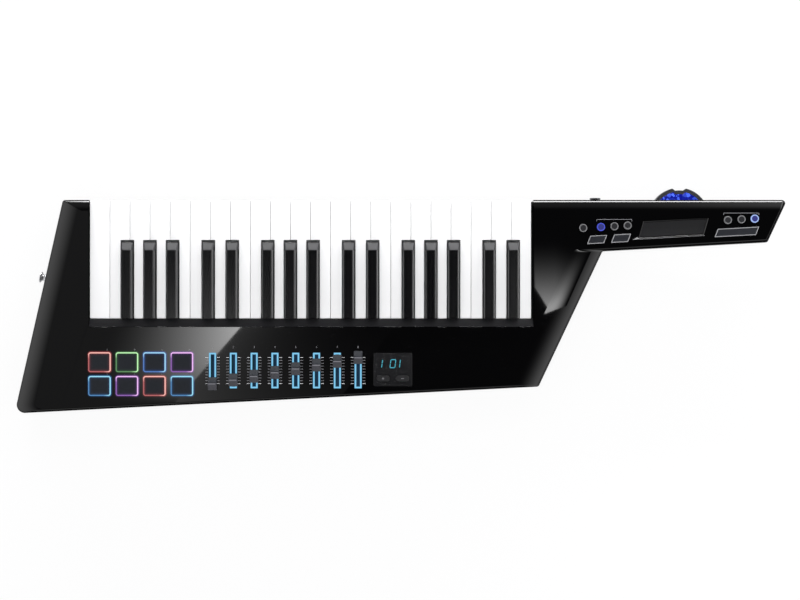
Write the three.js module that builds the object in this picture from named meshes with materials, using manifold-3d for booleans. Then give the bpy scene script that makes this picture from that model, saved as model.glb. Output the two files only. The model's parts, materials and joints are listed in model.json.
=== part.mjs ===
// A keytar: a keyboard worn on a strap, with 37 full-size keys, pads, faders and a neck with controls.
// Millimetres. It lies on its back with +Z up, X runs from the body to the neck's tip, and +Y is the
// side of the key fronts. While it is drawn, X starts at the keys' left end and Y at the straight edge.
import * as THREE from "three";
import { mergeVertices } from "three/addons/utils/BufferGeometryUtils.js";
import Module from "manifold-3d";

const wasm = await Module();
wasm.setup();

// Clearances
const fitGap = 0.3; // between fixed pieces that lie on each other
const runGap = 0.4; // round a piece that moves
const overrun = 1; // how far a cut runs past the face that it opens, and a boss into what carries it
const mergeDistance = 0.0001; // points of a mesh that lie closer are one

// Keyboard
const whiteCount = 22;
const keyPitch = 23.5;
const keyGap = 1;
const keySetback = 0.4; // key fronts behind the straight edge
const wellDepth = 139; // straight edge to the rail behind the keys
const wellLeftGap = 0.5;
const wellRightGap = 2.7;
const railWidth = 9.8;
const railDrop = 3.5;
const railThick = 3.4;
const keySink = 5; // white key tops below the panel
const whiteThick = 12;
const whiteLip = 18; // height of a white key's front
const whiteSkin = 3; // top of a hollow key
const keyWall = 1.6;
const whiteDip = 10;
const blackLength = 90.6; // the part of a black key in front of the rail
const blackWidth = 14;
const blackTopWidth = 10.6;
const blackRise = 11.5;
const blackSlope = 9.7;
const blackNose = 1.2; // height of the upright step at a black key's front, above the white keys
const blackDip = 8.8;
const blackSideGap = 0.9;
const blackFrontGap = 1.5;
const pairSpread = 2.3; // black keys of a pair stand this much apart from the gap between white keys
const trioSpread = 3;
const tailDrop = 4; // key tails pass under the rail
const tailThick = 12;
const pivotBehind = 30; // rail edge to the pivot
const tailBehind = 6; // pivot to the tail's end
const pivotSink = 10; // pivot below the white key tops
const pivotRadius = 3;
const pivotRib = 4;

// Outline of the housings
const leftMargin = 31.6;
const leftLean = 56.7;
const lowerOverhang = 8.6;
const rightLean = 74.9;
const neckRun = 193.2;
const tipLean = 23.1;
const smallCorner = 3.5;
const bigCorner = 9;
const innerCorner = 3;

// Housing walls and heights
const bodyHeight = 55;
const neckHeight = 34;
const panelThick = 3;
const wallThick = 3;
const floorThick = 3;
const edgeRound = 2;
const rollDrop = 5; // how far the panel rolls down at its edges
const slantRoll = 24; // width of the roll along the two slanted edges
const straightRoll = 12; // along the straight edge
const tipRoll = 8;
const lowerRoll = 3; // along the lower edge and the neck's underside
const backInset = 10; // how far the back face lies inside the outline
const backRound = 2.4;
const draftInset = 1.2;
const draftDrop = 4;
const neckSlopeStart = 5; // from the neck's root
const neckSlopeRun = 60;
const bossInset = 17;
const bossRadius = 4;
const tipBossGap = 1.9; // to the keypad
const ribWidth = 4;

// Key frame
const frameThick = 2;
const frameStandoff = 2.7;
const frameInset = 12;
const postWide = 5;
const postDeep = 4;
const blackPostWide = 4;
const whitePostInset = 20; // straight edge to the posts of the white keys
const blackPostInset = 27; // black key's front to its post
const stopGap = 0.6;

// Pads
const padColumns = 4;
const padRows = 2;
const padWidth = 28.2;
const padDepth = 23.7;
const padGapX = 3.9;
const padGapY = 4;
const padCorner = 3;
const padStart = 11.6; // keys' left end to the first column's centre
const padToTail = 2.95; // key tails to the first row
const padToEdge = 20.75; // last row to the lower left corner
const padRise = 1.2;
const matThick = 2;
const matMargin = 2;

// Faders
const faderCount = 8;
const faderPitch = 24.3;
const padToFader = 22.3;
const faderLift = 4.1; // middle of the travel above the middle of the pads
const faderTravel = 32;
const faderFirst = -15.25; // first and last fader's place along the travel, as the set stands
const faderLast = 15.25;
const slotWidth = 4.2;
const stemWidth = 2.6;
const stemDepth = 5;
const stemReach = 8; // below the panel
const capWidth = 10.3;
const capDepth = 15.2;
const capLift = 1;
const capFoot = 2.6;
const capHeight = 8.4;
const capRidge = 3.4;
const faderBodyWidth = 10;
const faderBodyEnd = 3;
const faderFloor = 2;
const faderToEdge = 7.75; // last fader's body to the lower edge

// Display and its two buttons
const faderToDisplay = 17.7;
const displayLift = 5.2; // above the middle of the pads
const displayWidth = 45.6;
const displayDepth = 39.5;
const displayCorner = 2;
const displayLedge = 2.8;
const lensThick = 1.7;
const pillDepth = 7.5;
const pillWidthShare = 0.35;
const pillSpreadShare = 0.25;
const pillDropShare = 0.265;
const pillRise = 0.8;
const pillMat = 1.8;

// Control board
const boardThick = 1.6;
const boardSink = 12.4; // panel's underside to the board
const boardMargin = 6;
const boardPostRadius = 3;

// Neck controls, measured from the neck's underside edge
const rowGap = 4.6; // leaning buttons to round ones
const rootShoulder = 31.7; // straight edge to the round buttons' line at the neck's root
const endShoulder = 21.2; // the same at its end
const roundRadius = 4.7;
const roundRootOffsets = [-23.1, -2.3, 13.4, 28.8];
const roundEndOffsets = [-47.3, -31.3, -15.8];
const roundRise = 0.9;
const keypadSink = 2.8;
const keypadThick = 2;
const keypadMargin = 1.6;
const keypadWebGap = 1.2; // web to the wheel's upper boss
const bladeToEdge = 8.9;
const bladeHeight = 10.2;
const bladeSlant = 4.6;
const bladeShort = 20.6;
const bladeLong = 49.2;
const bladeDownOffset = -6.9;
const bladeUpOffset = 21.1;
const bladeEndOffset = -36.8;
const bladeRise = 0.9;
const bladeFlange = 1.3;
const bladeFlangeThick = 1.6;
const stripLine = 22.6;
const stripRootGap = 5.6;
const stripEndGap = 15.3;
const stripHeight = 21.2;
const stripSlant = 7.6;
const stripSink = 3;
const stripScoop = 2.4;
const stripFloor = 2;

// Bend wheel
const wheelRadius = 35;
const wheelSink = 20.2; // straight edge to the wheel's centre
const wheelHeadroom = 5.2; // wheel to the keypad above it
const wheelCut = 12; // centre to the flat that the hidden side is cut to
const wheelShare = 0.471;
const wheelLift = 4; // above the neck's rear wall
const notchWidth = 17;
const notchDepth = 3;
const shaftRadius = 3;
const shaftReach = 4;
const shaftWall = 2.4;

// Strap buttons
const strapLength = 8.2;
const strapBase = 5.8;
const strapWaist = 3.6;
const strapHead = 6.8;
const strapHeadThick = 2.2;
const strapSeatRadius = 7.4;
const sideStrapDepth = 91.8; // straight edge to the button on the left edge
const neckStrapOffset = -5.1; // from the neck's root
const seatDepth = 6;

// Battery bay
const doorLength = 112;
const doorWidth = 41;
const doorThick = 2.5;
const doorSink = 0.2;
const doorStart = 52;
const doorToTail = 8; // key tails to the door's hinge
const doorLedge = 2.2;
const bayDepth = 17;
const bayWall = 2;

// Places that follow from the sizes
const keysLength = whiteCount * keyPitch;
const wellLeft = -wellLeftGap;
const wellRight = keysLength + wellRightGap;
const tailsDepth = wellDepth + pivotBehind + tailBehind;
const padPitchX = padWidth + padGapX;
const padPitchY = padDepth + padGapY;
const padLine = tailsDepth + padToTail + padDepth / 2;
const padMiddle = padLine + ((padRows - 1) * padPitchY) / 2;
const bodyDepth = padLine + (padRows - 1) * padPitchY + padDepth / 2 + padToEdge;
const cornerX = -leftMargin - leftLean;
const lowerX = keysLength + lowerOverhang;
const rootX = lowerX + rightLean;
const endX = rootX + neckRun;
const panelTop = bodyHeight;
const panelUnder = panelTop - panelThick;
const whiteTop = panelTop - keySink;
const blackTop = whiteTop + blackRise;
const pivotY = -wellDepth - pivotBehind;
const pivotZ = whiteTop - pivotSink;
const neckBack = bodyHeight - neckHeight;
const partingHeight = neckBack + floorThick;
const boardTop = panelUnder - boardSink;
const halfGap = fitGap / 2;
const wheelBottom = partingHeight + wheelLift;
const wheelTop = panelUnder - keypadSink - keypadThick - wheelHeadroom;
const wheelThick = wheelTop - wheelBottom;
const wheelX = rootX + neckRun * wheelShare;
const wheelY = -wheelSink;
const shaftBossRadius = shaftRadius + runGap + shaftWall;
const bladeLine = bladeToEdge + bladeHeight / 2;
const roundLine = bladeLine + bladeHeight / 2 + rowGap + roundRadius;
const neckRootDepth = roundLine + rootShoulder;
const neckEndDepth = roundLine + endShoulder;
const neckSlope = (neckRootDepth - neckEndDepth) / neckRun;
const neckTilt = Math.atan(neckSlope);
const keypadReach = roundRadius + keypadMargin;
const rooted = panelUnder + overrun / 2; // tops of bosses, inside the panel
const straight = 2 * (keysLength + bodyDepth); // longer than the object, for cuts that run right through

// The lower edge climbs from the left corner to just below the last fader's body.
const padLeftX = padStart - padWidth / 2;
const padRightX = padLeftX + padWidth + (padColumns - 1) * padPitchX;
const faderStartX = padRightX + padToFader;
const faderEndX = faderStartX + (faderCount - 1) * faderPitch;
const faderY = faderLift - padMiddle;
const faderBodyLength = faderTravel + stemDepth + 2 * runGap + 2 * faderBodyEnd;
const faderRise = bodyDepth + faderY - faderBodyLength / 2 - faderToEdge;
const lowerSlope = faderRise / (faderEndX + faderBodyWidth / 2 - cornerX);

// Heights above the neck's underside edge, and above the lower edge
const neckLineY = (x, v) => -neckRootDepth + (x - rootX) * neckSlope + v;
const lowerLineY = (x, v) => -bodyDepth + (x - cornerX) * lowerSlope + v;

// Materials
const finish = (color, roughness, metalness) =>
  new THREE.MeshStandardMaterial({ color, roughness, metalness });
const glossBlack = finish(0x0b0b0c, 0.12, 0);
const mattBlack = finish(0x141415, 0.6, 0);
const frameGrey = finish(0x8d8f92, 0.6, 0);
const whiteKeyFinish = finish(0xf4f4f6, 0.25, 0);
const blackKeyFinish = finish(0x161617, 0.3, 0);
const rubberGrey = finish(0x2c2c2e, 0.7, 0);
const boardGreen = finish(0x1f5a38, 0.6, 0);
const lensGrey = finish(0x1d1e20, 0.1, 0);
const chromeFinish = finish(0xd8dade, 0.15, 1);
const wheelBlue = finish(0x1746d8, 0.3, 0);

// How finely round shapes are drawn
const cornerSteps = 3;
const roundSides = 16;
const seatSides = 20;
const notchSides = 32;
const rimSteps = 36;
const leastRadiusShare = 0.2; // of a corner's radius that is left when its outline moves in

// Solids: three.js draws each shape, and manifold-3d joins and cuts them.
function solidOf(geometry) {
  const plain = geometry.clone();
  plain.deleteAttribute("normal");
  plain.deleteAttribute("uv");
  const merged = mergeVertices(plain, mergeDistance);
  return new wasm.Manifold(
    new wasm.Mesh({
      numProp: 3,
      vertProperties: new Float32Array(merged.attributes.position.array),
      triVerts: new Uint32Array(merged.index.array),
    }),
  );
}

function geometryOf(solid) {
  const mesh = solid.getMesh();
  const geometry = new THREE.BufferGeometry();
  geometry.setAttribute("position", new THREE.BufferAttribute(mesh.vertProperties, 3));
  geometry.setIndex(new THREE.BufferAttribute(mesh.triVerts, 1));
  geometry.computeVertexNormals();
  return geometry;
}

const join = (first, ...rest) => rest.reduce((sum, next) => sum.add(next), first);
const cut = (first, ...rest) => rest.reduce((left, next) => left.subtract(next), first);

// A box between two values on each axis.
function block([x0, x1], [y0, y1], [z0, z1]) {
  const geometry = new THREE.BoxGeometry(x1 - x0, y1 - y0, z1 - z0);
  geometry.translate((x0 + x1) / 2, (y0 + y1) / 2, (z0 + z1) / 2);
  return solidOf(geometry);
}

// An outline of [x, y] points, drawn up from z0 to z1.
function prismZ(points, z0, z1) {
  const shape = new THREE.Shape(points.map(([x, y]) => new THREE.Vector2(x, y)));
  const geometry = new THREE.ExtrudeGeometry(shape, { depth: z1 - z0, bevelEnabled: false });
  geometry.translate(0, 0, z0);
  return solidOf(geometry);
}

// A side view of [y, z] points, drawn along X.
function prismX(points, x0, x1) {
  const shape = new THREE.Shape(points.map(([y, z]) => new THREE.Vector2(y, z)));
  const geometry = new THREE.ExtrudeGeometry(shape, { depth: x1 - x0, bevelEnabled: false });
  geometry.applyMatrix4(new THREE.Matrix4().set(0, 0, 1, x0, 1, 0, 0, 0, 0, 1, 0, 0, 0, 0, 0, 1));
  return solidOf(geometry);
}

// An end view of [x, z] points, drawn along Y.
function prismY(points, y0, y1) {
  const shape = new THREE.Shape(points.map(([x, z]) => new THREE.Vector2(z, x)));
  const geometry = new THREE.ExtrudeGeometry(shape, { depth: y1 - y0, bevelEnabled: false });
  geometry.applyMatrix4(new THREE.Matrix4().set(0, 1, 0, 0, 0, 0, 1, y0, 1, 0, 0, 0, 0, 0, 0, 1));
  return solidOf(geometry);
}

// An upright cylinder.
function post(x, y, radius, z0, z1, sides = roundSides) {
  const geometry = new THREE.CylinderGeometry(radius, radius, z1 - z0, sides);
  geometry.rotateX(Math.PI / 2);
  geometry.translate(x, y, (z0 + z1) / 2);
  return solidOf(geometry);
}

// Moves each edge of a counter-clockwise outline inwards by its own distance. Corner i lies between
// the edges i - 1 and i. A corner's radius shrinks with the outline, or grows where it is hollow.
function insetCorners(corners, insets) {
  const count = corners.length;
  const edges = corners.map((a, i) => {
    const b = corners[(i + 1) % count];
    const length = Math.hypot(b.x - a.x, b.y - a.y);
    const dx = (b.x - a.x) / length;
    const dy = (b.y - a.y) / length;
    return { x: a.x - dy * insets[i], y: a.y + dx * insets[i], dx, dy };
  });
  return corners.map((corner, i) => {
    const from = edges[(i + count - 1) % count];
    const to = edges[i];
    const turn = from.dx * to.dy - from.dy * to.dx;
    const along = ((to.x - from.x) * to.dy - (to.y - from.y) * to.dx) / turn;
    const least = Math.min(insets[(i + count - 1) % count], insets[i]);
    const r = turn > 0 ? Math.max(corner.r - least, corner.r * leastRadiusShare) : corner.r + least;
    return { x: from.x + from.dx * along, y: from.y + from.dy * along, r };
  });
}

// The points of an outline, with an arc of equal steps at each corner.
function roundedPoints(corners, steps = cornerSteps) {
  const count = corners.length;
  return corners.flatMap((corner, i) => {
    const before = corners[(i + count - 1) % count];
    const after = corners[(i + 1) % count];
    const inAngle = Math.atan2(corner.y - before.y, corner.x - before.x);
    const outAngle = Math.atan2(after.y - corner.y, after.x - corner.x);
    const turn = Math.atan2(Math.sin(outAngle - inAngle), Math.cos(outAngle - inAngle));
    const side = Math.sign(turn);
    const reach = corner.r * Math.tan(Math.abs(turn) / 2);
    const startX = corner.x - Math.cos(inAngle) * reach;
    const startY = corner.y - Math.sin(inAngle) * reach;
    const centreX = startX - Math.sin(inAngle) * corner.r * side;
    const centreY = startY + Math.cos(inAngle) * corner.r * side;
    return Array.from({ length: steps + 1 }, (_, step) => {
      const angle = inAngle + (turn * step) / steps;
      const x = centreX + Math.sin(angle) * corner.r * side;
      const y = centreY - Math.cos(angle) * corner.r * side;
      return [x, y];
    });
  });
}

// A closed body through a stack of rings of the same number of points, from the lowest up.
function loft(rings) {
  const count = rings[0].points.length;
  const positions = rings.flatMap(({ points, z }) => points.flatMap(([x, y]) => [x, y, z]));
  const flat = rings[0].points.map(([x, y]) => new THREE.Vector2(x, y));
  const cap = THREE.ShapeUtils.triangulateShape(flat, []);
  const top = (rings.length - 1) * count;
  const faces = cap.flatMap(([a, b, c]) => [a, c, b, top + a, top + b, top + c]);
  for (let ring = 0; ring < rings.length - 1; ring += 1) {
    for (let i = 0; i < count; i += 1) {
      const a = ring * count + i;
      const b = ring * count + ((i + 1) % count);
      faces.push(a, b, b + count, a, b + count, a + count);
    }
  }
  const geometry = new THREE.BufferGeometry();
  geometry.setAttribute("position", new THREE.Float32BufferAttribute(positions, 3));
  geometry.setIndex(faces);
  return solidOf(geometry);
}

const ringAt = (corners, insets, z) => ({ points: roundedPoints(insetCorners(corners, insets)), z });

const rectangle = (width, depth, r, x = 0, y = 0) => [
  { x: x - width / 2, y: y - depth / 2, r },
  { x: x + width / 2, y: y - depth / 2, r },
  { x: x + width / 2, y: y + depth / 2, r },
  { x: x - width / 2, y: y + depth / 2, r },
];

// The housings' outline: top left, lower left, lower right, the neck's root, its end and its tip.
const outline = [
  { x: -leftMargin, y: 0, r: smallCorner },
  { x: cornerX, y: -bodyDepth, r: bigCorner },
  { x: lowerX, y: lowerLineY(lowerX, 0), r: smallCorner },
  { x: rootX, y: -neckRootDepth, r: innerCorner },
  { x: endX, y: -neckEndDepth, r: smallCorner },
  { x: endX + tipLean, y: 0, r: smallCorner },
];
const even = (inset) => outline.map(() => inset);
const rolls = [slantRoll, lowerRoll, slantRoll, lowerRoll, tipRoll, straightRoll];

// The front housing's skin: a wall, a small round and a roll that flattens into the panel.
// Moved in by a wall and down by the panel's thickness, the same rings are its hollow.
function frontSkin(bottom, inset, drop) {
  const shoulder = panelTop - rollDrop - drop;
  const roundAngles = [0, Math.PI / 4, Math.PI / 2];
  const rollShares = [1 / 4, 1 / 2, 3 / 4, 1];
  const rings = [ringAt(outline, even(inset), bottom)];
  roundAngles.forEach((angle) => {
    const round = edgeRound * (1 - Math.cos(angle));
    rings.push(ringAt(outline, even(inset + round), shoulder - edgeRound * (1 - Math.sin(angle))));
  });
  rollShares.forEach((share) => {
    const insets = rolls.map((roll) => inset + edgeRound + roll * share);
    rings.push(ringAt(outline, insets, shoulder + rollDrop * (1 - (1 - share) ** 2)));
  });
  return loft(rings);
}

// Screw posts stand near the outline's corners and beside the keys.
const inner = insetCorners(outline, even(bossInset));
const bossPlaces = [
  inner[0],
  inner[1],
  inner[2],
  { x: (inner[2].x + inner[3].x) / 2, y: (inner[2].y + inner[3].y) / 2 },
  { x: endX + Math.max(...roundEndOffsets) + keypadReach + bossRadius + tipBossGap, y: -bossInset },
];

// Places of the controls
const padFrontY = -padLine + padDepth / 2;
const padBackY = padFrontY - padDepth - (padRows - 1) * padPitchY;
const displayX = faderEndX + faderToDisplay + displayWidth / 2;
const displayY = displayLift - padMiddle;
const pillWidth = displayWidth * pillWidthShare;
const pillSpread = displayWidth * pillSpreadShare;
const pillDrop = displayDepth * pillDropShare;
const padPlaces = [];
for (let row = 0; row < padRows; row += 1) {
  for (let column = 0; column < padColumns; column += 1) {
    padPlaces.push([padStart + column * padPitchX, -padLine - row * padPitchY]);
  }
}
const faderPlaces = Array.from({ length: faderCount }, (_, i) => faderStartX + i * faderPitch);
const pillPlaces = [-pillSpread, pillSpread].map((x) => [displayX + x, displayY - pillDrop]);
const roundPlaces = [
  ...roundRootOffsets.map((offset) => rootX + offset),
  ...roundEndOffsets.map((offset) => endX + offset),
].map((x) => [x, neckLineY(x, roundLine)]);

// A leaning four-sided outline on the neck, level with the underside edge.
function leaning(x, line, length, height, slant, r) {
  const tilt = (u, v) => {
    const px = x + u * Math.cos(neckTilt) - v * Math.sin(neckTilt);
    const py = neckLineY(x, line) + u * Math.sin(neckTilt) + v * Math.cos(neckTilt);
    return { x: px, y: py, r };
  };
  return [
    tilt(-length / 2 - slant / 2, -height / 2),
    tilt(length / 2 - slant / 2, -height / 2),
    tilt(length / 2 + slant / 2, height / 2),
    tilt(-length / 2 + slant / 2, height / 2),
  ];
}

const bladeCorner = 0.8;
const bladeOutline = (x, length) => leaning(x, bladeLine, length, bladeHeight, bladeSlant, bladeCorner);
const bladeOutlines = {
  octave_down_button: bladeOutline(rootX + bladeDownOffset, bladeShort),
  octave_up_button: bladeOutline(rootX + bladeUpOffset, bladeShort),
  sustain_button: bladeOutline(endX + bladeEndOffset, bladeLong),
};
const stripStart = bladeUpOffset + (bladeShort + bladeSlant) / 2 + stripRootGap;
const stripEnd = neckRun + Math.min(...roundEndOffsets) - roundRadius - stripEndGap;
const stripX = rootX + (stripStart + stripEnd) / 2;
const stripLength = stripEnd - stripStart - stripSlant;
const stripOutline = leaning(stripX, stripLine, stripLength, stripHeight, stripSlant, edgeRound);

// Board outline: behind the key tails, and parallel to the lower edge.
const boardLeft = padLeftX - boardMargin;
const boardRight = displayX + displayWidth / 2 + 2 * boardMargin;
const boardFront = -tailsDepth - runGap - boardThick;
const boardEdge = wallThick + lowerRoll;
const boardPostXs = [(padRightX + faderStartX - faderBodyWidth / 2) / 2, boardRight - boardMargin];
const boardPosts = boardPostXs.flatMap((x) => [
  [x, boardFront - boardMargin],
  [x, lowerLineY(x, boardEdge + boardMargin)],
]);

// Front housing
function frontHousing() {
  const bottom = partingHeight + halfGap;
  const hollow = cut(
    frontSkin(bottom - overrun, wallThick, panelThick),
    block([wellLeft - wallThick, wellLeft], [-wellDepth - railWidth, overrun], [0, straight]),
    block([wellRight, wellRight + wallThick], [-wellDepth - railWidth, overrun], [0, straight]),
  );
  const shell = cut(frontSkin(bottom, 0, 0), hollow);
  const railBottom = panelTop - railDrop - railThick;
  const railBack = -wellDepth - railWidth;
  const railBar = block(
    [wellLeft - wallThick / 2, wellRight + wallThick / 2],
    [railBack - wallThick, -wellDepth],
    [railBottom, rooted],
  );
  const stripPad = prismZ(
    roundedPoints(insetCorners(stripOutline, stripOutline.map(() => -stripFloor))),
    panelTop - stripSink - stripFloor,
    rooted,
  );
  const bosses = bossPlaces.map(({ x, y }) => post(x, y, bossRadius, bottom, rooted));
  const boardBosses = boardPosts.map(([x, y]) => post(x, y, boardPostRadius, boardTop + fitGap, rooted));
  const shaftBoss = post(wheelX, wheelY, shaftBossRadius, wheelTop + runGap, rooted);
  const solid = join(shell, railBar, stripPad, ...bosses, ...boardBosses, shaftBoss);
  return cut(solid, ...frontHousingCuts());
}

function frontHousingCuts() {
  const through = [panelUnder - panelThick, panelTop + overrun];
  const well = block([wellLeft, wellRight], [-wellDepth, straight], [0, straight]);
  const rail = prismX(
    [
      [-wellDepth - railWidth, panelTop],
      [-wellDepth + overrun, panelTop - railDrop - (railDrop * overrun) / railWidth],
      [-wellDepth + overrun, panelTop + overrun],
      [-wellDepth - railWidth, panelTop + overrun],
    ],
    wellLeft,
    wellRight,
  );
  const pads = padPlaces.map(([x, y]) =>
    prismZ(roundedPoints(rectangle(padWidth, padDepth, padCorner, x, y)), ...through),
  );
  const slotLength = faderTravel + stemDepth + 2 * runGap;
  const slots = faderPlaces.map((x) =>
    prismZ(roundedPoints(rectangle(slotWidth, slotLength, slotWidth / 4, x, faderY), 1), ...through),
  );
  const lensSeat = prismZ(
    roundedPoints(rectangle(displayWidth, displayDepth, displayCorner, displayX, displayY)),
    panelTop - lensThick - fitGap,
    panelTop + overrun,
  );
  const window = block(
    [displayX - displayWidth / 2 + displayLedge, displayX + displayWidth / 2 - displayLedge],
    [displayY - displayDepth / 2 + displayLedge, displayY + displayDepth / 2 - displayLedge],
    through,
  );
  const rounds = roundPlaces.map(([x, y]) => post(x, y, roundRadius + fitGap, ...through));
  const blades = Object.values(bladeOutlines).map((corners) => prismZ(roundedPoints(corners), ...through));
  const stripTop = stripOutline.map(() => -stripScoop * (overrun / stripSink));
  const strip = loft([
    ringAt(stripOutline, stripOutline.map(() => stripScoop), panelTop - stripSink),
    ringAt(stripOutline, stripTop, panelTop + overrun),
  ]);
  const shaftHole = post(wheelX, wheelY, shaftRadius + fitGap, 0, wheelTop + shaftReach + runGap);
  const controls = [...pads, ...slots, lensSeat, window, ...rounds, ...blades, strip];
  return [well, rail, ...controls, shaftHole, wheelSlot()];
}

// The slot in the straight wall that the wheel turns in.
function wheelSlot() {
  const rise = -wheelY - wallThick;
  const half = Math.sqrt(wheelRadius ** 2 - rise ** 2) + 2 * runGap;
  return block(
    [wheelX - half, wheelX + half],
    [-wallThick - edgeRound, straight],
    [0, wheelTop + runGap],
  );
}

// Rear housing: a tray with drafted walls, deep under the body and thin along the neck.
function rearSkin(inset, lift, top) {
  const rise = partingHeight - halfGap;
  return loft([
    ringAt(outline, even(inset + backInset), lift),
    ringAt(outline, even(inset + backInset - backRound), lift + backRound),
    ringAt(outline, even(inset + draftInset), lift + rise - draftDrop),
    ringAt(outline, even(inset), top),
  ]);
}

function sideView(lift) {
  return prismY(
    [
      [-straight, lift],
      [rootX + neckSlopeStart, lift],
      [rootX + neckSlopeStart + neckSlopeRun, neckBack + lift],
      [straight, neckBack + lift],
      [straight, straight],
      [-straight, straight],
    ],
    -straight,
    straight,
  );
}

const neckStrapX = rootX + neckStrapOffset;
const neckStrapZ = (partingHeight - halfGap) / 2;
const neckSeatShare = (partingHeight - halfGap - draftDrop - neckStrapZ) /
  (partingHeight - halfGap - draftDrop - backRound);
const neckSeatInset = draftInset + (backInset - backRound - draftInset) * neckSeatShare;

// A cylinder along Y on the neck strap button's axis.
function seatRod(radius, y0, y1) {
  const geometry = new THREE.CylinderGeometry(radius, radius, y1 - y0, seatSides);
  geometry.translate(neckStrapX, (y0 + y1) / 2, neckStrapZ);
  return solidOf(geometry);
}

const doorHingeY = -tailsDepth - doorToTail;
const doorBackY = doorHingeY - doorWidth;

function rearHousing() {
  const top = partingHeight - halfGap;
  const shell = cut(
    rearSkin(0, 0, top).intersect(sideView(0)),
    rearSkin(wallThick, floorThick, top + floorThick + overrun).intersect(sideView(floorThick)),
  );
  const bosses = bossPlaces.slice(0, 4).map(({ x, y }) => post(x, y, bossRadius, floorThick / 2, top));
  const ribShares = [0.06, 0.35, 0.65, 0.94];
  const ribs = ribShares.map((share) =>
    block(
      [keysLength * share - ribWidth / 2, keysLength * share + ribWidth / 2],
      [pivotY, -frameInset - ribWidth],
      [floorThick / 2, floorThick + frameStandoff],
    ),
  );
  const bay = block(
    [doorStart - bayWall, doorStart + doorLength + bayWall],
    [doorBackY - bayWall, doorHingeY + doorThick / 2 + bayWall],
    [floorThick / 2, floorThick + bayDepth + bayWall],
  );
  const shaftBoss = post(
    wheelX, wheelY, shaftBossRadius, neckBack + floorThick / 2, wheelBottom - runGap);
  const strapBoss = seatRod(strapSeatRadius, -neckSeatInset - seatDepth, -neckSeatInset);
  return cut(join(shell, ...bosses, ...ribs, bay, shaftBoss, strapBoss), ...rearHousingCuts());
}

function rearHousingCuts() {
  const lipClear = whiteTop - whiteLip - whiteDip - 2 * runGap;
  const keyOpening = block(
    [wellLeft, wellRight], [-wallThick - backInset, straight], [lipClear, straight]);
  const bay = block(
    [doorStart + doorLedge, doorStart + doorLength - doorLedge],
    [doorBackY + doorLedge, doorHingeY - doorLedge],
    [-overrun, floorThick + bayDepth],
  );
  const doorSeat = block(
    [doorStart - fitGap, doorStart + doorLength + fitGap],
    [doorBackY - fitGap, doorHingeY + doorThick / 2 + fitGap],
    [-overrun, doorSink + doorThick + fitGap],
  );
  const strapSeat = seatRod(strapSeatRadius, -neckSeatInset, straight);
  const shaftHole = post(
    wheelX, wheelY, shaftRadius + fitGap, wheelBottom - shaftReach, wheelBottom + overrun);
  return [keyOpening, bay, doorSeat, strapSeat, shaftHole];
}

// Battery door: a plate whose hinged edge is round about its axis.
const doorHingeZ = doorSink + doorThick / 2;

function batteryDoor() {
  const arcSteps = 6;
  const arc = Array.from({ length: arcSteps + 1 }, (_, i) => {
    const angle = -Math.PI / 2 + (Math.PI * i) / arcSteps;
    return [(doorThick / 2) * Math.cos(angle), (doorThick / 2) * Math.sin(angle)];
  });
  const side = [[-doorWidth, doorThick / 2], [-doorWidth, -doorThick / 2], ...arc];
  return prismX(side, 0, doorLength);
}

// Keys. A key is drawn about its own middle in X and its pivot in Y and Z.
const whiteFront = -keySetback - pivotY;
const blackFront = -wellDepth + blackLength - pivotY;
const railFront = -wellDepth + runGap - pivotY;

// The round notch that sits on the frame's pivot rail, open below.
function pivotNotch(bottom) {
  const steps = 8;
  const r = pivotRadius + fitGap;
  const arc = Array.from({ length: steps + 1 }, (_, i) => {
    const angle = (Math.PI * i) / steps;
    return [r * Math.cos(angle), r * Math.sin(angle)];
  });
  return prismX([...arc, [-r, bottom - overrun], [r, bottom - overrun]], -keyPitch, keyPitch);
}

// A white key, given how far the black keys on its left and right reach over it.
function whiteKey(leftBite, rightBite) {
  const half = (keyPitch - keyGap) / 2;
  const left = leftBite > 0 ? -keyPitch / 2 + leftBite : -half;
  const right = rightBite > 0 ? keyPitch / 2 - rightBite : half;
  const shoulder = blackFront + blackFrontGap;
  const tail = -tailBehind;
  const plan = prismZ(
    [
      [left, tail], [right, tail], [right, shoulder], [half, shoulder], [half, whiteFront],
      [-half, whiteFront], [-half, shoulder], [left, shoulder],
    ].filter(([x, y], i, all) => i === 0 || x !== all[i - 1][0] || y !== all[i - 1][1]),
    -straight,
    straight,
  );
  const top = whiteTop - pivotZ;
  const bottom = top - whiteThick;
  const lip = top - whiteLip;
  const lipThick = 1.5 * keyWall;
  const side = prismX(
    [
      [whiteFront, lip], [whiteFront, top], [railFront, top], [railFront, top - tailDrop],
      [tail, top - tailDrop], [tail, top - tailDrop - tailThick + tailDrop], [railFront, bottom],
      [whiteFront - lipThick, bottom], [whiteFront - lipThick, lip],
    ],
    -keyPitch,
    keyPitch,
  );
  const headHollow = block(
    [-half + keyWall, half - keyWall],
    [shoulder + keyWall, whiteFront - lipThick],
    [bottom - overrun, top - whiteSkin],
  );
  const stemHollow = block(
    [left + keyWall, right - keyWall],
    [railFront + keyWall, shoulder + 2 * keyWall],
    [bottom - overrun, top - whiteSkin],
  );
  return cut(plan.intersect(side), headHollow, stemHollow, pivotNotch(bottom));
}

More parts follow.
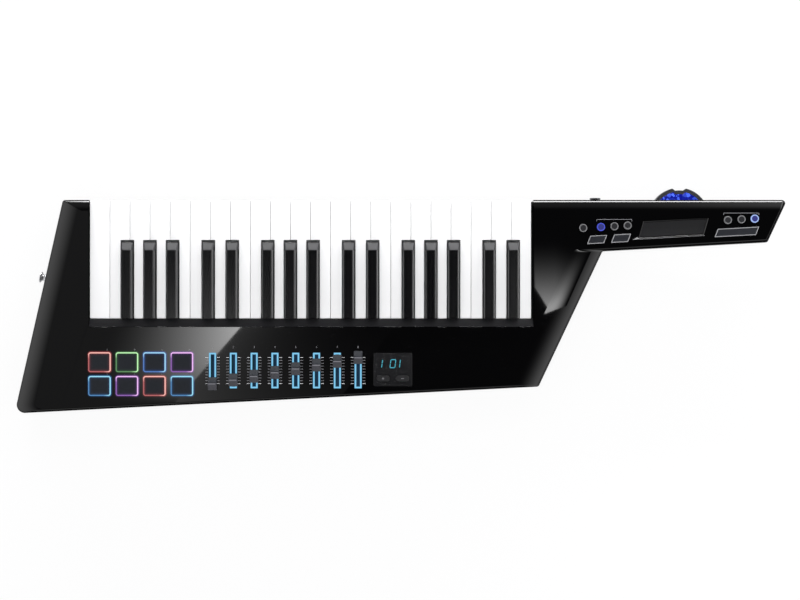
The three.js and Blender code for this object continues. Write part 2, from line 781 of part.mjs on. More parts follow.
function blackKey() {
  const half = blackWidth / 2;
  const topHalf = blackTopWidth / 2;
  const top = blackTop - pivotZ;
  const collar = whiteTop - pivotZ;
  const bottom = collar - whiteThick;
  const tail = -tailBehind;
  const side = prismX(
    [
      [blackFront, bottom], [blackFront, collar + blackNose], [blackFront - blackSlope, top],
      [railFront, top], [railFront, collar - tailDrop], [tail, collar - tailDrop], [tail, bottom],
    ],
    -keyPitch,
    keyPitch,
  );
  const end = prismY(
    [[-half, bottom], [half, bottom], [half, collar], [topHalf, top], [-topHalf, top], [-half, collar]],
    tail,
    blackFront,
  );
  const hollow = block(
    [-half + keyWall, half - keyWall],
    [railFront + keyWall, blackFront - blackSlope],
    [bottom - overrun, top - 2 * whiteSkin],
  );
  return cut(side.intersect(end), hollow, pivotNotch(bottom));
}

// The octave: for each white key from C, the black key that follows it and its shift towards C.
const blackShifts = [-pairSpread, pairSpread, null, -trioSpread, 0, trioSpread, null];
const bite = (shift) => blackWidth / 2 + blackSideGap + shift;
const whiteX = (i) => keysLength - (i + 1 / 2) * keyPitch;

// Keys are numbered from the low end, which is on the right, so a key's next neighbour is on its left.
function keyPlan() {
  const whites = [];
  const blacks = [];
  for (let i = 0; i < whiteCount; i += 1) {
    const next = i < whiteCount - 1 ? blackShifts[i % blackShifts.length] : null;
    const before = i > 0 ? blackShifts[(i - 1) % blackShifts.length] : null;
    const leftBite = next === null ? 0 : bite(-next);
    const rightBite = before === null ? 0 : bite(before);
    whites.push({ x: whiteX(i), leftBite, rightBite });
    if (next !== null) blacks.push({ x: whiteX(i) - keyPitch / 2 - next });
  }
  return { whites, blacks };
}
const keys = keyPlan();

// Key frame: a plate with the pivot rail that all keys sit on, and a guide post inside each key.
function keyFrame() {
  const bottom = floorThick + frameStandoff + fitGap;
  const top = bottom + frameThick;
  const plate = block([fitGap, keysLength - fitGap], [pivotY - tailBehind, -frameInset], [bottom, top]);
  const rib = block(
    [fitGap, keysLength - fitGap], [pivotY - pivotRib / 2, pivotY + pivotRib / 2], [bottom, pivotZ]);
  const rail = new THREE.CylinderGeometry(pivotRadius, pivotRadius, keysLength - 2 * fitGap, roundSides);
  rail.rotateY(Math.PI / roundSides);
  rail.rotateZ(Math.PI / 2);
  rail.translate(keysLength / 2, pivotY, pivotZ);
  const stopZ = (hollowTop, dip, reach, front) => hollowTop - (dip * (reach - pivotY)) / front - stopGap;
  const whitePostY = -whitePostInset;
  const whitePostTop = stopZ(whiteTop - whiteSkin, whiteDip, whitePostY, whiteFront);
  const blackPostY = -wellDepth + blackLength - blackPostInset;
  const blackPostTop = stopZ(blackTop - 2 * whiteSkin, blackDip, blackPostY, blackFront);
  const guide = (x, y, wide, postTop) =>
    block([x - wide / 2, x + wide / 2], [y - postDeep / 2, y + postDeep / 2], [bottom, postTop]);
  const whitePosts = keys.whites.map(({ x }) => guide(x, whitePostY, postWide, whitePostTop));
  const blackPosts = keys.blacks.map(({ x }) => guide(x, blackPostY, blackPostWide, blackPostTop));
  return join(plate, rib, solidOf(rail), ...whitePosts, ...blackPosts);
}

// Control board: the fader bodies and the blocks under the pads and the display stand on it.
function controlBoard() {
  const plate = prismZ(
    [
      [boardLeft, lowerLineY(boardLeft, boardEdge)], [boardRight, lowerLineY(boardRight, boardEdge)],
      [boardRight, boardFront], [boardLeft, boardFront],
    ],
    boardTop - boardThick,
    boardTop,
  );
  const sunk = boardTop - boardThick / 2;
  const bodies = faderPlaces.map((x) =>
    block(
      [x - faderBodyWidth / 2, x + faderBodyWidth / 2],
      [faderY - faderBodyLength / 2, faderY + faderBodyLength / 2],
      [sunk, panelUnder - fitGap],
    ),
  );
  const grooves = faderPlaces.map((x) =>
    block(
      [x - stemWidth / 2 - runGap, x + stemWidth / 2 + runGap],
      [faderY - faderBodyLength / 2 + faderBodyEnd, faderY + faderBodyLength / 2 - faderBodyEnd],
      [boardTop + faderFloor, panelUnder],
    ),
  );
  const padBlock = block(
    [padLeftX, padRightX], [padBackY, padFrontY], [sunk, panelUnder - 2 * fitGap - matThick]);
  const displayBlock = block(
    [displayX - displayWidth / 2, displayX + displayWidth / 2],
    [displayY - displayDepth / 2, displayY + displayDepth / 2],
    [sunk, panelUnder - 2 * fitGap - pillMat],
  );
  return cut(join(plate, ...bodies, padBlock, displayBlock), ...grooves);
}

// Pad mat: one silicone sheet with its pads.
function padMat() {
  const top = panelUnder - fitGap;
  const sheet = block(
    [padLeftX - matMargin, padRightX + matMargin], [padBackY - matMargin, padFrontY + matMargin],
    [top - matThick, top],
  );
  const pads = padPlaces.map(([x, y]) => {
    const corners = rectangle(padWidth - 2 * fitGap, padDepth - 2 * fitGap, padCorner - fitGap, x, y);
    const flat = corners.map(() => 0);
    const shrunk = corners.map(() => padRise / 2);
    return loft([
      ringAt(corners, flat, top - matThick / 2),
      ringAt(corners, flat, panelTop + padRise / 2),
      ringAt(corners, shrunk, panelTop + padRise),
    ]);
  });
  return join(sheet, ...pads);
}

// A fader: its cap and the stem that runs in the panel's slot, about the cap's middle at panel height.
function fader() {
  const half = capDepth / 2;
  const foot = capLift + capFoot;
  const top = capLift + capHeight;
  const cap = prismX(
    [
      [half, capLift], [half, foot], [capRidge / 2, top], [-capRidge / 2, top], [-half, foot],
      [-half, capLift],
    ],
    -capWidth / 2,
    capWidth / 2,
  );
  const stem = block(
    [-stemWidth / 2, stemWidth / 2],
    [-stemDepth / 2, stemDepth / 2],
    [-panelThick - stemReach, foot],
  );
  return join(cap, stem);
}

// Display lens with the two holes for its buttons.
function displayLens() {
  const corners = rectangle(
    displayWidth - 2 * fitGap, displayDepth - 2 * fitGap, displayCorner, displayX, displayY);
  const plate = prismZ(roundedPoints(corners), panelTop - lensThick, panelTop);
  const holes = pillPlaces.map(([x, y]) =>
    prismZ(
      roundedPoints(rectangle(pillWidth, pillDepth, pillDepth / 2 - fitGap, x, y)),
      panelTop - lensThick - overrun,
      panelTop + overrun,
    ),
  );
  return cut(plate, ...holes);
}

function valueKeypad() {
  const top = panelUnder - fitGap;
  const [, y] = pillPlaces[0];
  const sheet = block(
    [displayX - displayWidth / 2, displayX + displayWidth / 2],
    [y - pillDepth / 2, y + pillDepth / 2],
    [top - pillMat, top],
  );
  const pills = pillPlaces.map(([x]) => {
    const corners = rectangle(
      pillWidth - 2 * fitGap, pillDepth - 2 * fitGap, pillDepth / 2 - 2 * fitGap, x, y);
    return prismZ(roundedPoints(corners), top - pillMat / 2, panelTop + pillRise);
  });
  return join(sheet, ...pills);
}

// Neck keypad: seven round buttons on one silicone strip that passes under the touch strip.
function neckKeypad() {
  const reach = keypadReach;
  const low = roundLine - reach;
  const high = roundLine + reach;
  const web = wheelY - shaftBossRadius - keypadWebGap - neckLineY(wheelX, 0);
  const [leftX] = roundPlaces[0];
  const [leftEndX] = roundPlaces[roundRootOffsets.length - 1];
  const [rightX] = roundPlaces[roundRootOffsets.length];
  const [rightEndX] = roundPlaces[roundPlaces.length - 1];
  const corner = (x, v) => [x, neckLineY(x, v)];
  const top = panelUnder - keypadSink;
  const sheet = prismZ(
    [
      corner(leftX - reach, low), corner(rightEndX + reach, low), corner(rightEndX + reach, high),
      corner(rightX - reach, high), corner(rightX - reach, web), corner(leftEndX + reach, web),
      corner(leftEndX + reach, high), corner(leftX - reach, high),
    ],
    top - keypadThick,
    top,
  );
  const buttons = roundPlaces.map(([x, y]) =>
    post(x, y, roundRadius, top - keypadThick / 2, panelTop + roundRise),
  );
  return join(sheet, ...buttons);
}

// A leaning button with the flange that keeps it in, drawn in place.
function blade(corners) {
  const at = (inset, z) => ringAt(corners, corners.map(() => inset), z);
  const flangeTop = panelUnder - fitGap;
  const flange = loft([at(-bladeFlange, flangeTop - bladeFlangeThick), at(-bladeFlange, flangeTop)]);
  const body = loft([
    at(runGap, flangeTop - bladeFlangeThick / 2),
    at(runGap, panelTop + bladeRise / 2),
    at(runGap + bladeRise / 2, panelTop + bladeRise),
  ]);
  return join(flange, body);
}

// Bend wheel about its own axis: a disc cut off on its hidden side, with a finger notch and a shaft.
function bendWheel() {
  const low = Math.asin(wheelCut / wheelRadius);
  const rim = Array.from({ length: rimSteps + 1 }, (_, i) => {
    const angle = -low + ((Math.PI + 2 * low) * i) / rimSteps;
    return [wheelRadius * Math.cos(angle), wheelRadius * Math.sin(angle)];
  });
  const disc = prismZ(rim, 0, wheelThick);
  const notchRadius = ((notchWidth / 2) ** 2 + notchDepth ** 2) / (2 * notchDepth);
  const notch = post(
    0, wheelRadius - notchDepth + notchRadius, notchRadius, -overrun, wheelThick + overrun, notchSides);
  const shaft = post(0, 0, shaftRadius, -shaftReach + fitGap, wheelThick + shaftReach);
  return join(cut(disc, notch), shaft);
}

// Strap button, turned about Y from its seat outwards.
function strapButton() {
  const neck = strapLength - strapHeadThick;
  const profile = [
    [0, 0], [strapBase, 0], [strapBase, strapHeadThick / 2], [strapWaist, strapHeadThick],
    [strapWaist, neck - strapHeadThick / 2], [strapHead, neck], [strapHead, strapLength - strapHeadThick / 4],
    [strapHead - strapHeadThick / 4, strapLength], [0, strapLength],
  ];
  const points = profile.map(([x, y]) => new THREE.Vector2(x, y));
  return solidOf(new THREE.LatheGeometry(points, roundSides));
}

// Assembly
const keytar = new THREE.Group();

function place(name, solid, material, x = 0, y = 0, z = 0) {
  const mesh = new THREE.Mesh(geometryOf(solid), material);
  mesh.name = name;
  mesh.position.set(x, y, z);
  keytar.add(mesh);
  return mesh;
}

const numbered = (stem, i) => `${stem}_${String(i + 1).padStart(2, "0")}`;

place("front_housing", frontHousing(), glossBlack);
place("rear_housing", rearHousing(), mattBlack);
place("key_frame", keyFrame(), frameGrey);
place("control_board", controlBoard(), boardGreen);
place("pad_mat", padMat(), rubberGrey);
place("display_lens", displayLens(), lensGrey);
place("value_keypad", valueKeypad(), rubberGrey);
place("neck_keypad", neckKeypad(), rubberGrey);
place("battery_door", batteryDoor(), mattBlack, doorStart, doorHingeY, doorHingeZ);
place("pitch_wheel", bendWheel(), wheelBlue, wheelX, wheelY, wheelBottom);
Object.entries(bladeOutlines).forEach(([name, corners]) => place(name, blade(corners), rubberGrey));

const faderSolid = fader();
faderPlaces.forEach((x, i) => {
  const share = i / (faderCount - 1);
  const y = faderY + faderFirst + (faderLast - faderFirst) * share;
  place(`fader_${i + 1}`, faderSolid, mattBlack, x, y, panelTop);
});

keys.whites.forEach(({ x, leftBite, rightBite }, i) => {
  place(numbered("white_key", i), whiteKey(leftBite, rightBite), whiteKeyFinish, x, pivotY, pivotZ);
});
const blackSolid = blackKey();
keys.blacks.forEach(({ x }, i) => {
  place(numbered("black_key", i), blackSolid, blackKeyFinish, x, pivotY, pivotZ);
});

place("strap_button_neck", strapButton(), chromeFinish, neckStrapX, fitGap - neckSeatInset, neckStrapZ);
const sideAngle = Math.atan2(leftLean, bodyDepth);
const sideX = -leftMargin - (leftLean * sideStrapDepth) / bodyDepth;
const sideZ = (partingHeight + halfGap + panelTop - rollDrop - edgeRound) / 2;
const sideButton = place(
  "strap_button_side", strapButton(), chromeFinish,
  sideX - fitGap * Math.cos(sideAngle), -sideStrapDepth + fitGap * Math.sin(sideAngle), sideZ);
sideButton.rotation.z = Math.PI / 2 - sideAngle;

// The part's origin is the middle of its box at its back.
const box = new THREE.Box3().setFromObject(keytar, true);
const root = new THREE.Group();
keytar.position.set(-(box.min.x + box.max.x) / 2, -(box.min.y + box.max.y) / 2, -box.min.z);
root.add(keytar);

export default root;
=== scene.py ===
"""The looks of a shoulder keyboard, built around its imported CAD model.

Lengths are millimetres in the part's own frame: X from the keys' left end towards the neck's tip,
Y = 0 at the straight edge that the key fronts lie along, Z out of the panel. Bench turns them into
the row frame. Lengths in the finishes and in the studio are metres.
"""

import json
import logging
import math
from dataclasses import dataclass, field
from enum import Enum
from typing import Any, Callable, Mapping, Optional, Sequence

import bmesh
import bpy
import numpy as np
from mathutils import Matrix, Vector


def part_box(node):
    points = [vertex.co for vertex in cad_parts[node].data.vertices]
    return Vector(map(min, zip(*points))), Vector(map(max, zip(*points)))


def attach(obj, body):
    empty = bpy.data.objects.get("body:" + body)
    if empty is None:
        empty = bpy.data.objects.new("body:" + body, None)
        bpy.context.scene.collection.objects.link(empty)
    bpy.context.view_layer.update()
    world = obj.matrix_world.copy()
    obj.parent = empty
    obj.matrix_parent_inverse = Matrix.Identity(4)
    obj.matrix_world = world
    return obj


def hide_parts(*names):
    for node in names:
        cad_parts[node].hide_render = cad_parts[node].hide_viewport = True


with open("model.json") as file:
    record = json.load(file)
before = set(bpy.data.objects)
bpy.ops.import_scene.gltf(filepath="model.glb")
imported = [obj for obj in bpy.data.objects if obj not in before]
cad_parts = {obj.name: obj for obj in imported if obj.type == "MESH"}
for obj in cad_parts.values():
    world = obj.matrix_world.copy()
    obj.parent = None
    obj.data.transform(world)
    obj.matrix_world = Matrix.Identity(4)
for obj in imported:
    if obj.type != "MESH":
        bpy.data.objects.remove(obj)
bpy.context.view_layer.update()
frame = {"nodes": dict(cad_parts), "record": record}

logging.basicConfig(level=logging.INFO, format="%(message)s")
log = logging.getLogger("keytar")

Array = np.ndarray
Colour = tuple[float, float, float]
Span = tuple[float, float]
Piece = bpy.types.Object
Material = bpy.types.Material
Socket = bpy.types.NodeSocket

MM = 0.001
HOUSING = "housing"
SHARP_ANGLE = math.radians(32)
LEAST_RADIUS_SHARE = 0.2
PANEL_TOP = 55.0
PRINT = (PANEL_TOP - 0.1, PANEL_TOP + 0.03)
FAR = 200.0
UNLIT = (0.0, 0.0, 0.0)


def shade(red: float, green: float, blue: float) -> Colour:
    """Turns a colour as seen on screen, 0 to 255, into the linear light that a shader takes."""
    seen = np.array([red, green, blue]) / 255
    linear = np.where(seen <= 0.04045, seen / 12.92, ((seen + 0.055) / 1.055) ** 2.4)
    return tuple(float(value) for value in linear)


def smooth_step(value: Array, low: float, high: float) -> Array:
    """Rises from 0 at low to 1 at high with level ends."""
    share = np.clip((value - low) / (high - low), 0, 1)
    return share * share * (3 - 2 * share)


def quarter(steps: int) -> list[Span]:
    """How far in, and how far short of its end, a quarter round of radius 1 lies at each step."""
    angles = np.linspace(0, math.pi / 2, steps + 1)
    return [(1 - math.cos(angle), 1 - math.sin(angle)) for angle in angles]


class Axis(Enum):
    """The direction that a profile is carried along."""

    X = "x"
    Y = "y"
    Z = "z"


@dataclass
class Form:
    """A closed shape, or several, as plain numbers before it becomes a mesh.

    Args:
        points: k x 3 places in millimetres.
        faces: for each face, the rows of points at its corners.
        marks: for each point, the value of the attribute "glow", or None for 0 everywhere.
    """

    points: Array
    faces: list[list[int]]
    marks: Optional[Array] = None

    def __post_init__(self) -> None:
        """Fills in the marks."""
        if self.marks is None:
            self.marks = np.zeros(len(self.points))

    def __add__(self, other: "Form") -> "Form":
        """Both shapes as one."""
        shift = len(self.points)
        faces = self.faces + [[corner + shift for corner in face] for face in other.faces]
        points = np.concatenate([self.points, other.points])
        return Form(points, faces, np.concatenate([self.marks, other.marks]))

    def moved(self, x: float, y: float = 0) -> "Form":
        """The same shape in another place."""
        return Form(self.points + np.array([x, y, 0]), self.faces, self.marks)

    def marked(self, marks: Sequence[float] | Array) -> "Form":
        """The same shape with one mark for each point, or one for each of its rings."""
        spread = np.repeat(np.asarray(marks, float), len(self.points) // len(marks))
        return Form(self.points, self.faces, spread)


def all_of(forms: Sequence[Form]) -> Form:
    """Joins a sequence of forms into one."""
    total = forms[0]
    for form in forms[1:]:
        total = total + form
    return total


def through(rings: Sequence[Array] | Array, closed: bool = False) -> Form:
    """A skin over a stack of rings: point j of ring i joins to point j of ring i + 1 and to point
    j + 1, and each ring wraps round. The ends get flat caps, or the stack wraps too.

    Args:
        rings: m rings of n x 3 points, each counter-clockwise seen from the last one.
        closed: joins the last ring to the first.
    Returns:
        The form, its faces pointing out.
    """
    rings = np.stack(rings)
    rows, columns = rings.shape[:2]
    across = np.arange(columns)
    steps = np.arange(rows if closed else rows - 1)
    low = steps[:, None] * columns
    high = ((steps[:, None] + 1) % rows) * columns
    beside = (across + 1) % columns
    quads = np.stack([low + across, low + beside, high + beside, high + across], axis=-1)
    faces = quads.reshape(-1, 4).tolist()
    if not closed:
        faces.append(across[::-1].tolist())
        faces.append((across + (rows - 1) * columns).tolist())
    return Form(rings.reshape(-1, 3), faces)


def moved_in(corners: Array, insets: Array | float) -> Array:
    """Moves each side of a counter-clockwise outline inwards by its own distance. Two moved sides
    meet where their lines cross, and a corner's radius shrinks by the lesser distance, or grows
    where the outline is hollow.

    Args:
        corners: n x 3 rows of x, y and radius. Side i runs from corner i to the next.
        insets: one distance, or one for each side.
    Returns:
        The new corners.
    """
    x, y, radius = corners.T
    distance = np.broadcast_to(np.asarray(insets, float), x.shape)
    run, rise = np.roll(x, -1) - x, np.roll(y, -1) - y
    length = np.hypot(run, rise)
    run, rise = run / length, rise / length
    start_x, start_y = x - rise * distance, y + run * distance
    last_x, last_y, last_run, last_rise, last_distance = (
        np.roll(values, 1) for values in (start_x, start_y, run, rise, distance)
    )
    turn = last_run * rise - last_rise * run
    along = ((start_x - last_x) * rise - (start_y - last_y) * run) / turn
    least = np.minimum(last_distance, distance)
    inner = np.maximum(radius - least, radius * LEAST_RADIUS_SHARE)
    new_radius = np.where(turn > 0, inner, radius + least)
    return np.stack([last_x + last_run * along, last_y + last_rise * along, new_radius], axis=1)


def rounded(corners: Array, steps: int = 8) -> Array:
    """The points of an outline with a circular arc of equal steps at each corner.

    Args:
        corners: n x 3 rows of x, y and radius.
        steps: steps of each arc.
    Returns:
        (n * (steps + 1)) x 2 points.
    """
    x, y, radius = corners.T
    into = np.arctan2(y - np.roll(y, 1), x - np.roll(x, 1))
    out = np.arctan2(np.roll(y, -1) - y, np.roll(x, -1) - x)
    turn = np.arctan2(np.sin(out - into), np.cos(out - into))
    side = np.sign(turn) * radius
    reach = radius * np.tan(np.abs(turn) / 2)
    centre_x = x - np.cos(into) * reach - np.sin(into) * side
    centre_y = y - np.sin(into) * reach + np.cos(into) * side
    angle = into[:, None] + turn[:, None] * np.linspace(0, 1, steps + 1)
    points_x = centre_x[:, None] + np.sin(angle) * side[:, None]
    points_y = centre_y[:, None] - np.cos(angle) * side[:, None]
    return np.stack([points_x.ravel(), points_y.ravel()], axis=1)


def filled_in(points: Array, extra: int) -> Array:
    """Adds extra points, evenly spaced, between each point of a closed line and the next."""
    share = np.arange(extra + 1) / (extra + 1)
    step = np.roll(points, -1, axis=0) - points
    return (points[:, None] + step[:, None] * share[None, :, None]).reshape(-1, 2)


def rectangle(width: float, depth: float, radius: float, x: float = 0, y: float = 0) -> Array:
    """The corners of an upright rectangle about x, y."""
    signs = ((-1, -1), (1, -1), (1, 1), (-1, 1))
    return np.array([[x + i * width / 2, y + j * depth / 2, radius] for i, j in signs])


def level(points: Array, height: float, axis: Axis = Axis.Z) -> Array:
    """Sets flat points at a height along an axis. A profile carried along X is given as y, z, one
    carried along Y as z, x and one carried along Z as x, y, so that all turn the same way."""
    heights = np.full(len(points), float(height))
    first, second = points.T
    columns = {Axis.X: (heights, first, second), Axis.Y: (second, heights, first)}
    return np.stack(columns.get(axis, (first, second, heights)), axis=1)


def prism(points: Array, low: float, high: float, axis: Axis = Axis.Z) -> Form:
    """Flat points carried straight from one height to another."""
    return through([level(points, low, axis), level(points, high, axis)])


def slab(corners: Array, low: float, high: float, steps: int = 4) -> Form:
    """A rounded outline carried straight up, with the given steps in each corner's arc."""
    return prism(rounded(corners, steps), low, high)


def brick(x: Span, y: Span, z: Span) -> Form:
    """A box between two values along each axis."""
    return prism(np.array([[x[0], y[0]], [x[1], y[0]], [x[1], y[1]], [x[0], y[1]]]), *z)


def pillow(
    corners: Array,
    low: float,
    high: float,
    edge: float,
    low_edge: float = 0,
    steps: int = 5,
    axis: Axis = Axis.Z,
) -> Form:
    """An outline carried along an axis, with a quarter round where it meets its ends: at angle a
    of the round the outline lies edge * (1 - cos a) in and edge * (1 - sin a) short of the end.

    Args:
        corners: the outline's corners.
        low: where it starts.
        high: where it ends.
        edge: radius of the round at the high end.
        low_edge: radius of the round at the low end.
        steps: steps of each round and arc.
        axis: the direction.
    Returns:
        The form.
    """

    def ring(inset: float, height: float) -> Array:
        """The outline moved in and set at a height."""
        return level(rounded(moved_in(corners, inset), steps), height, axis)

    arc = quarter(steps)
    starts = arc[::-1] if low_edge else arc[:1]
    ends = arc if edge else arc[:1]
    rings = [ring(low_edge * inwards, low + low_edge * short) for inwards, short in starts]
    rings += [ring(edge * inwards, high - edge * short) for inwards, short in ends]
    return through(rings)


def border(
    corners: Array, insets: Sequence[Array | float], low: float, high: float, extra: int = 0
) -> Form:
    """A flat frame: its upper face steps inwards from the first inset to the last, and walls go
    down from both. The stack of rings wraps, so it is a closed tube.

    Args:
        corners: the outline that the insets are taken from.
        insets: at least two distances or sets of distances, from the outside in.
        low: height of the underside.
        high: height of the upper face.
        extra: points added between each two of the outline.
    Returns:
        The form.
    """
    lines = [filled_in(rounded(moved_in(corners, inset), 4), extra) for inset in insets]
    upper = [level(line, high) for line in lines]
    return through([level(lines[0], low), *upper, level(lines[-1], low)], closed=True)


def turned(
    profile: Sequence[Sequence[float]] | Array,
    base: Sequence[float],
    axis: Sequence[float] = (0, 0, 1),
    sides: int = 40,
) -> Form:
    """A profile of radius and height turned round an axis: the point at angle a is
    base + height * axis + radius * (cos a * across + sin a * over).

    Args:
        profile: rows of radius and height, going up the axis.
        base: where the axis starts.
        axis: its direction.
        sides: steps of the turn.
    Returns:
        The form.
    """
    along = np.asarray(axis, float) / np.linalg.norm(axis)
    helper = np.array([0.0, 0.0, 1.0]) if abs(along[2]) < 0.9 else np.array([1.0, 0.0, 0.0])
    across = np.cross(helper, along)
    across /= np.linalg.norm(across)
    over = np.cross(along, across)
    angle = np.linspace(0, 2 * math.pi, sides, endpoint=False)
    circle = np.cos(angle)[:, None] * across + np.sin(angle)[:, None] * over
    radius, height = np.asarray(profile, float).T
    centres = np.asarray(base, float) + height[:, None, None] * along
    return through(centres + radius[:, None, None] * circle)


def placed(name: str, data: bpy.types.ID) -> Piece:
    """Makes an object of a mesh, a curve, a lamp or a camera and puts it in the scene."""
    piece = bpy.data.objects.new(name, data)
    bpy.context.scene.collection.objects.link(piece)
    return piece


def discard(piece: Piece) -> None:
    """Removes a piece that was only a tool, and its mesh."""
    mesh = piece.data
    bpy.data.objects.remove(piece)
    bpy.data.meshes.remove(mesh)


def values_of(items: Any, name: str, width: int = 1, kind: type = float) -> Array:
    """One property of all items of a mesh, as rows where its width is more than 1."""
    values = np.zeros(len(items) * width, kind)
    items.foreach_get(name, values)
    return values.reshape(-1, width) if width > 1 else values


def set_glow(mesh: bpy.types.Mesh, marks: Array) -> None:
    """Writes the attribute "glow" of a mesh's points."""
    glow = mesh.attributes.new("glow", "FLOAT", "POINT")
    glow.data.foreach_set("value", marks.astype(np.float32))


class Bench:
    """Turns forms into pieces of the visual model, and carves them."""

    key_side_gap: float = 0.5
    key_setback: float = 0.4
    least_level: float = 0.99999
    weld: float = 1e-6
    flat_angle: float = math.radians(1)

    def __init__(self) -> None:
        """Finds the part's own frame from the outermost white keys."""
        low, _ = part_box("white_key_22")
        _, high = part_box("white_key_01")
        corner = (low.x - self.key_side_gap * MM, high.y + self.key_setback * MM, 0.0)
        self.origin = np.array(corner)

    def to_row(self, points: Array) -> Array:
        """Millimetres in the part's frame to metres in the row frame."""
        return np.asarray(points, float) * MM + self.origin

    def to_part(self, points: Array) -> Array:
        """Metres in the row frame to millimetres in the part's frame."""
        return (np.asarray(points, float) - self.origin) / MM

    def box(self, node: str) -> tuple[Array, Array]:
        """A CAD node's lowest and highest corner, in the part's frame."""
        low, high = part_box(node)
        return self.to_part(low), self.to_part(high)

    def form_of(self, piece: Piece) -> Form:
        """Reads a piece back as a form."""
        points = self.to_part(values_of(piece.data.vertices, "co", 3))
        return Form(points, [list(polygon.vertices) for polygon in piece.data.polygons])

    def make(self, name: str, form: Form) -> Piece:
        """Makes a piece of a form, smooth but for its sharp edges."""
        mesh = bpy.data.meshes.new(name)
        mesh.from_pydata(self.to_row(form.points).tolist(), [], form.faces)
        mesh.update()
        if np.any(form.marks):
            set_glow(mesh, form.marks)
        piece = placed(name, mesh)
        self.soften(piece)
        return piece

    def soften(self, piece: Piece) -> None:
        """Shades a piece smoothly, keeps its sharp edges, and marks each edge between a level face
        and any other as sharp, so that level faces stay level up to their rims."""
        mesh = piece.data
        mesh.shade_smooth()
        mesh.set_sharp_from_angle(angle=SHARP_ANGLE)
        is_level = np.abs(values_of(mesh.polygons, "normal", 3)[:, 2]) > self.least_level
        edges = values_of(mesh.loops, "edge_index", kind=np.int32)
        per_loop = np.repeat(is_level, values_of(mesh.polygons, "loop_total", kind=np.int32))
        level_sides = np.bincount(edges, weights=per_loop, minlength=len(mesh.edges))
        all_sides = np.bincount(edges, minlength=len(mesh.edges))
        rims = (level_sides > 0) & (level_sides < all_sides)
        sharp = mesh.attributes.get("sharp_edge")
        sharp = sharp or mesh.attributes.new("sharp_edge", "BOOLEAN", "EDGE")
        sharp.data.foreach_set("value", values_of(sharp.data, "value", kind=bool) | rims)

    def carve(self, piece: Piece, form: Form) -> None:
        """Cuts a form out of a piece by an exact Boolean."""
        tool = self.make("tool", form)
        modifier = piece.modifiers.new("carve", "BOOLEAN")
        modifier.operation = "DIFFERENCE"
        modifier.object = tool
        modifier.solver = "EXACT"
        modifier.use_self = True
        state = bpy.context.evaluated_depsgraph_get()
        mesh = bpy.data.meshes.new_from_object(piece.evaluated_get(state))
        piece.modifiers.clear()
        mesh.name = piece.name
        piece.data = mesh
        discard(tool)
        self.soften(piece)

    def copy_of(
        self, node: str, name: str, edge: float, steps: int = 3, widen: float = 0
    ) -> Piece:
        """A merged copy of a CAD node with rounded edges.

        Args:
            node: the CAD node.
            name: the new piece's name.
            edge: radius of its edges.
            steps: steps of each round.
            widen: how far each of its two end faces along X moves outwards.
        Returns:
            The object.
        """
        shape = bmesh.new()
        shape.from_mesh(frame["nodes"][node].data)
        bmesh.ops.remove_doubles(shape, verts=shape.verts, dist=self.weld)
        bmesh.ops.dissolve_limit(
            shape, angle_limit=self.flat_angle, verts=shape.verts, edges=shape.edges
        )
        mesh = bpy.data.meshes.new(name)
        shape.to_mesh(mesh)
        shape.free()
        places = values_of(mesh.vertices, "co", 3, np.float32)
        low, high = places[:, 0].min(), places[:, 0].max()
        places[:, 0] -= widen * MM * (places[:, 0] < low + self.weld)
        places[:, 0] += widen * MM * (places[:, 0] > high - self.weld)
        mesh.vertices.foreach_set("co", places.ravel())
        mesh.update()
        mesh.shade_smooth()
        piece = placed(name, mesh)
        bevel = piece.modifiers.new("edges", "BEVEL")
        bevel.width = edge * MM
        bevel.segments = steps
        bevel.limit_method = "ANGLE"
        bevel.angle_limit = SHARP_ANGLE
        bevel.harden_normals = True
        return piece

    def fit(
        self,
        piece: Piece,
        finish: Material,
        slot: str,
        body: str = HOUSING,
        replaces: Sequence[str] = (),
    ) -> None:
        """Dresses a piece and sets it on its body.

        Args:
            piece: the object.
            finish: its material.
            slot: the record's slot that the finish belongs to; not used.
            body: the CAD body it moves with.
            replaces: CAD nodes that it stands for.
        """
        piece.data.materials.clear()
        piece.data.materials.append(finish)
        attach(piece, body)
        if replaces:
            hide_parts(*replaces)
        log.info("%s on %s, %d faces", piece.name, body, len(piece.data.polygons))

    def dress(self, node: str, finish: Material) -> None:
        """Gives a CAD node that stays in view its finish."""
        mesh = frame["nodes"][node].data
        mesh.materials.clear()
        mesh.materials.append(finish)
        log.info("%s keeps its CAD shape", node)


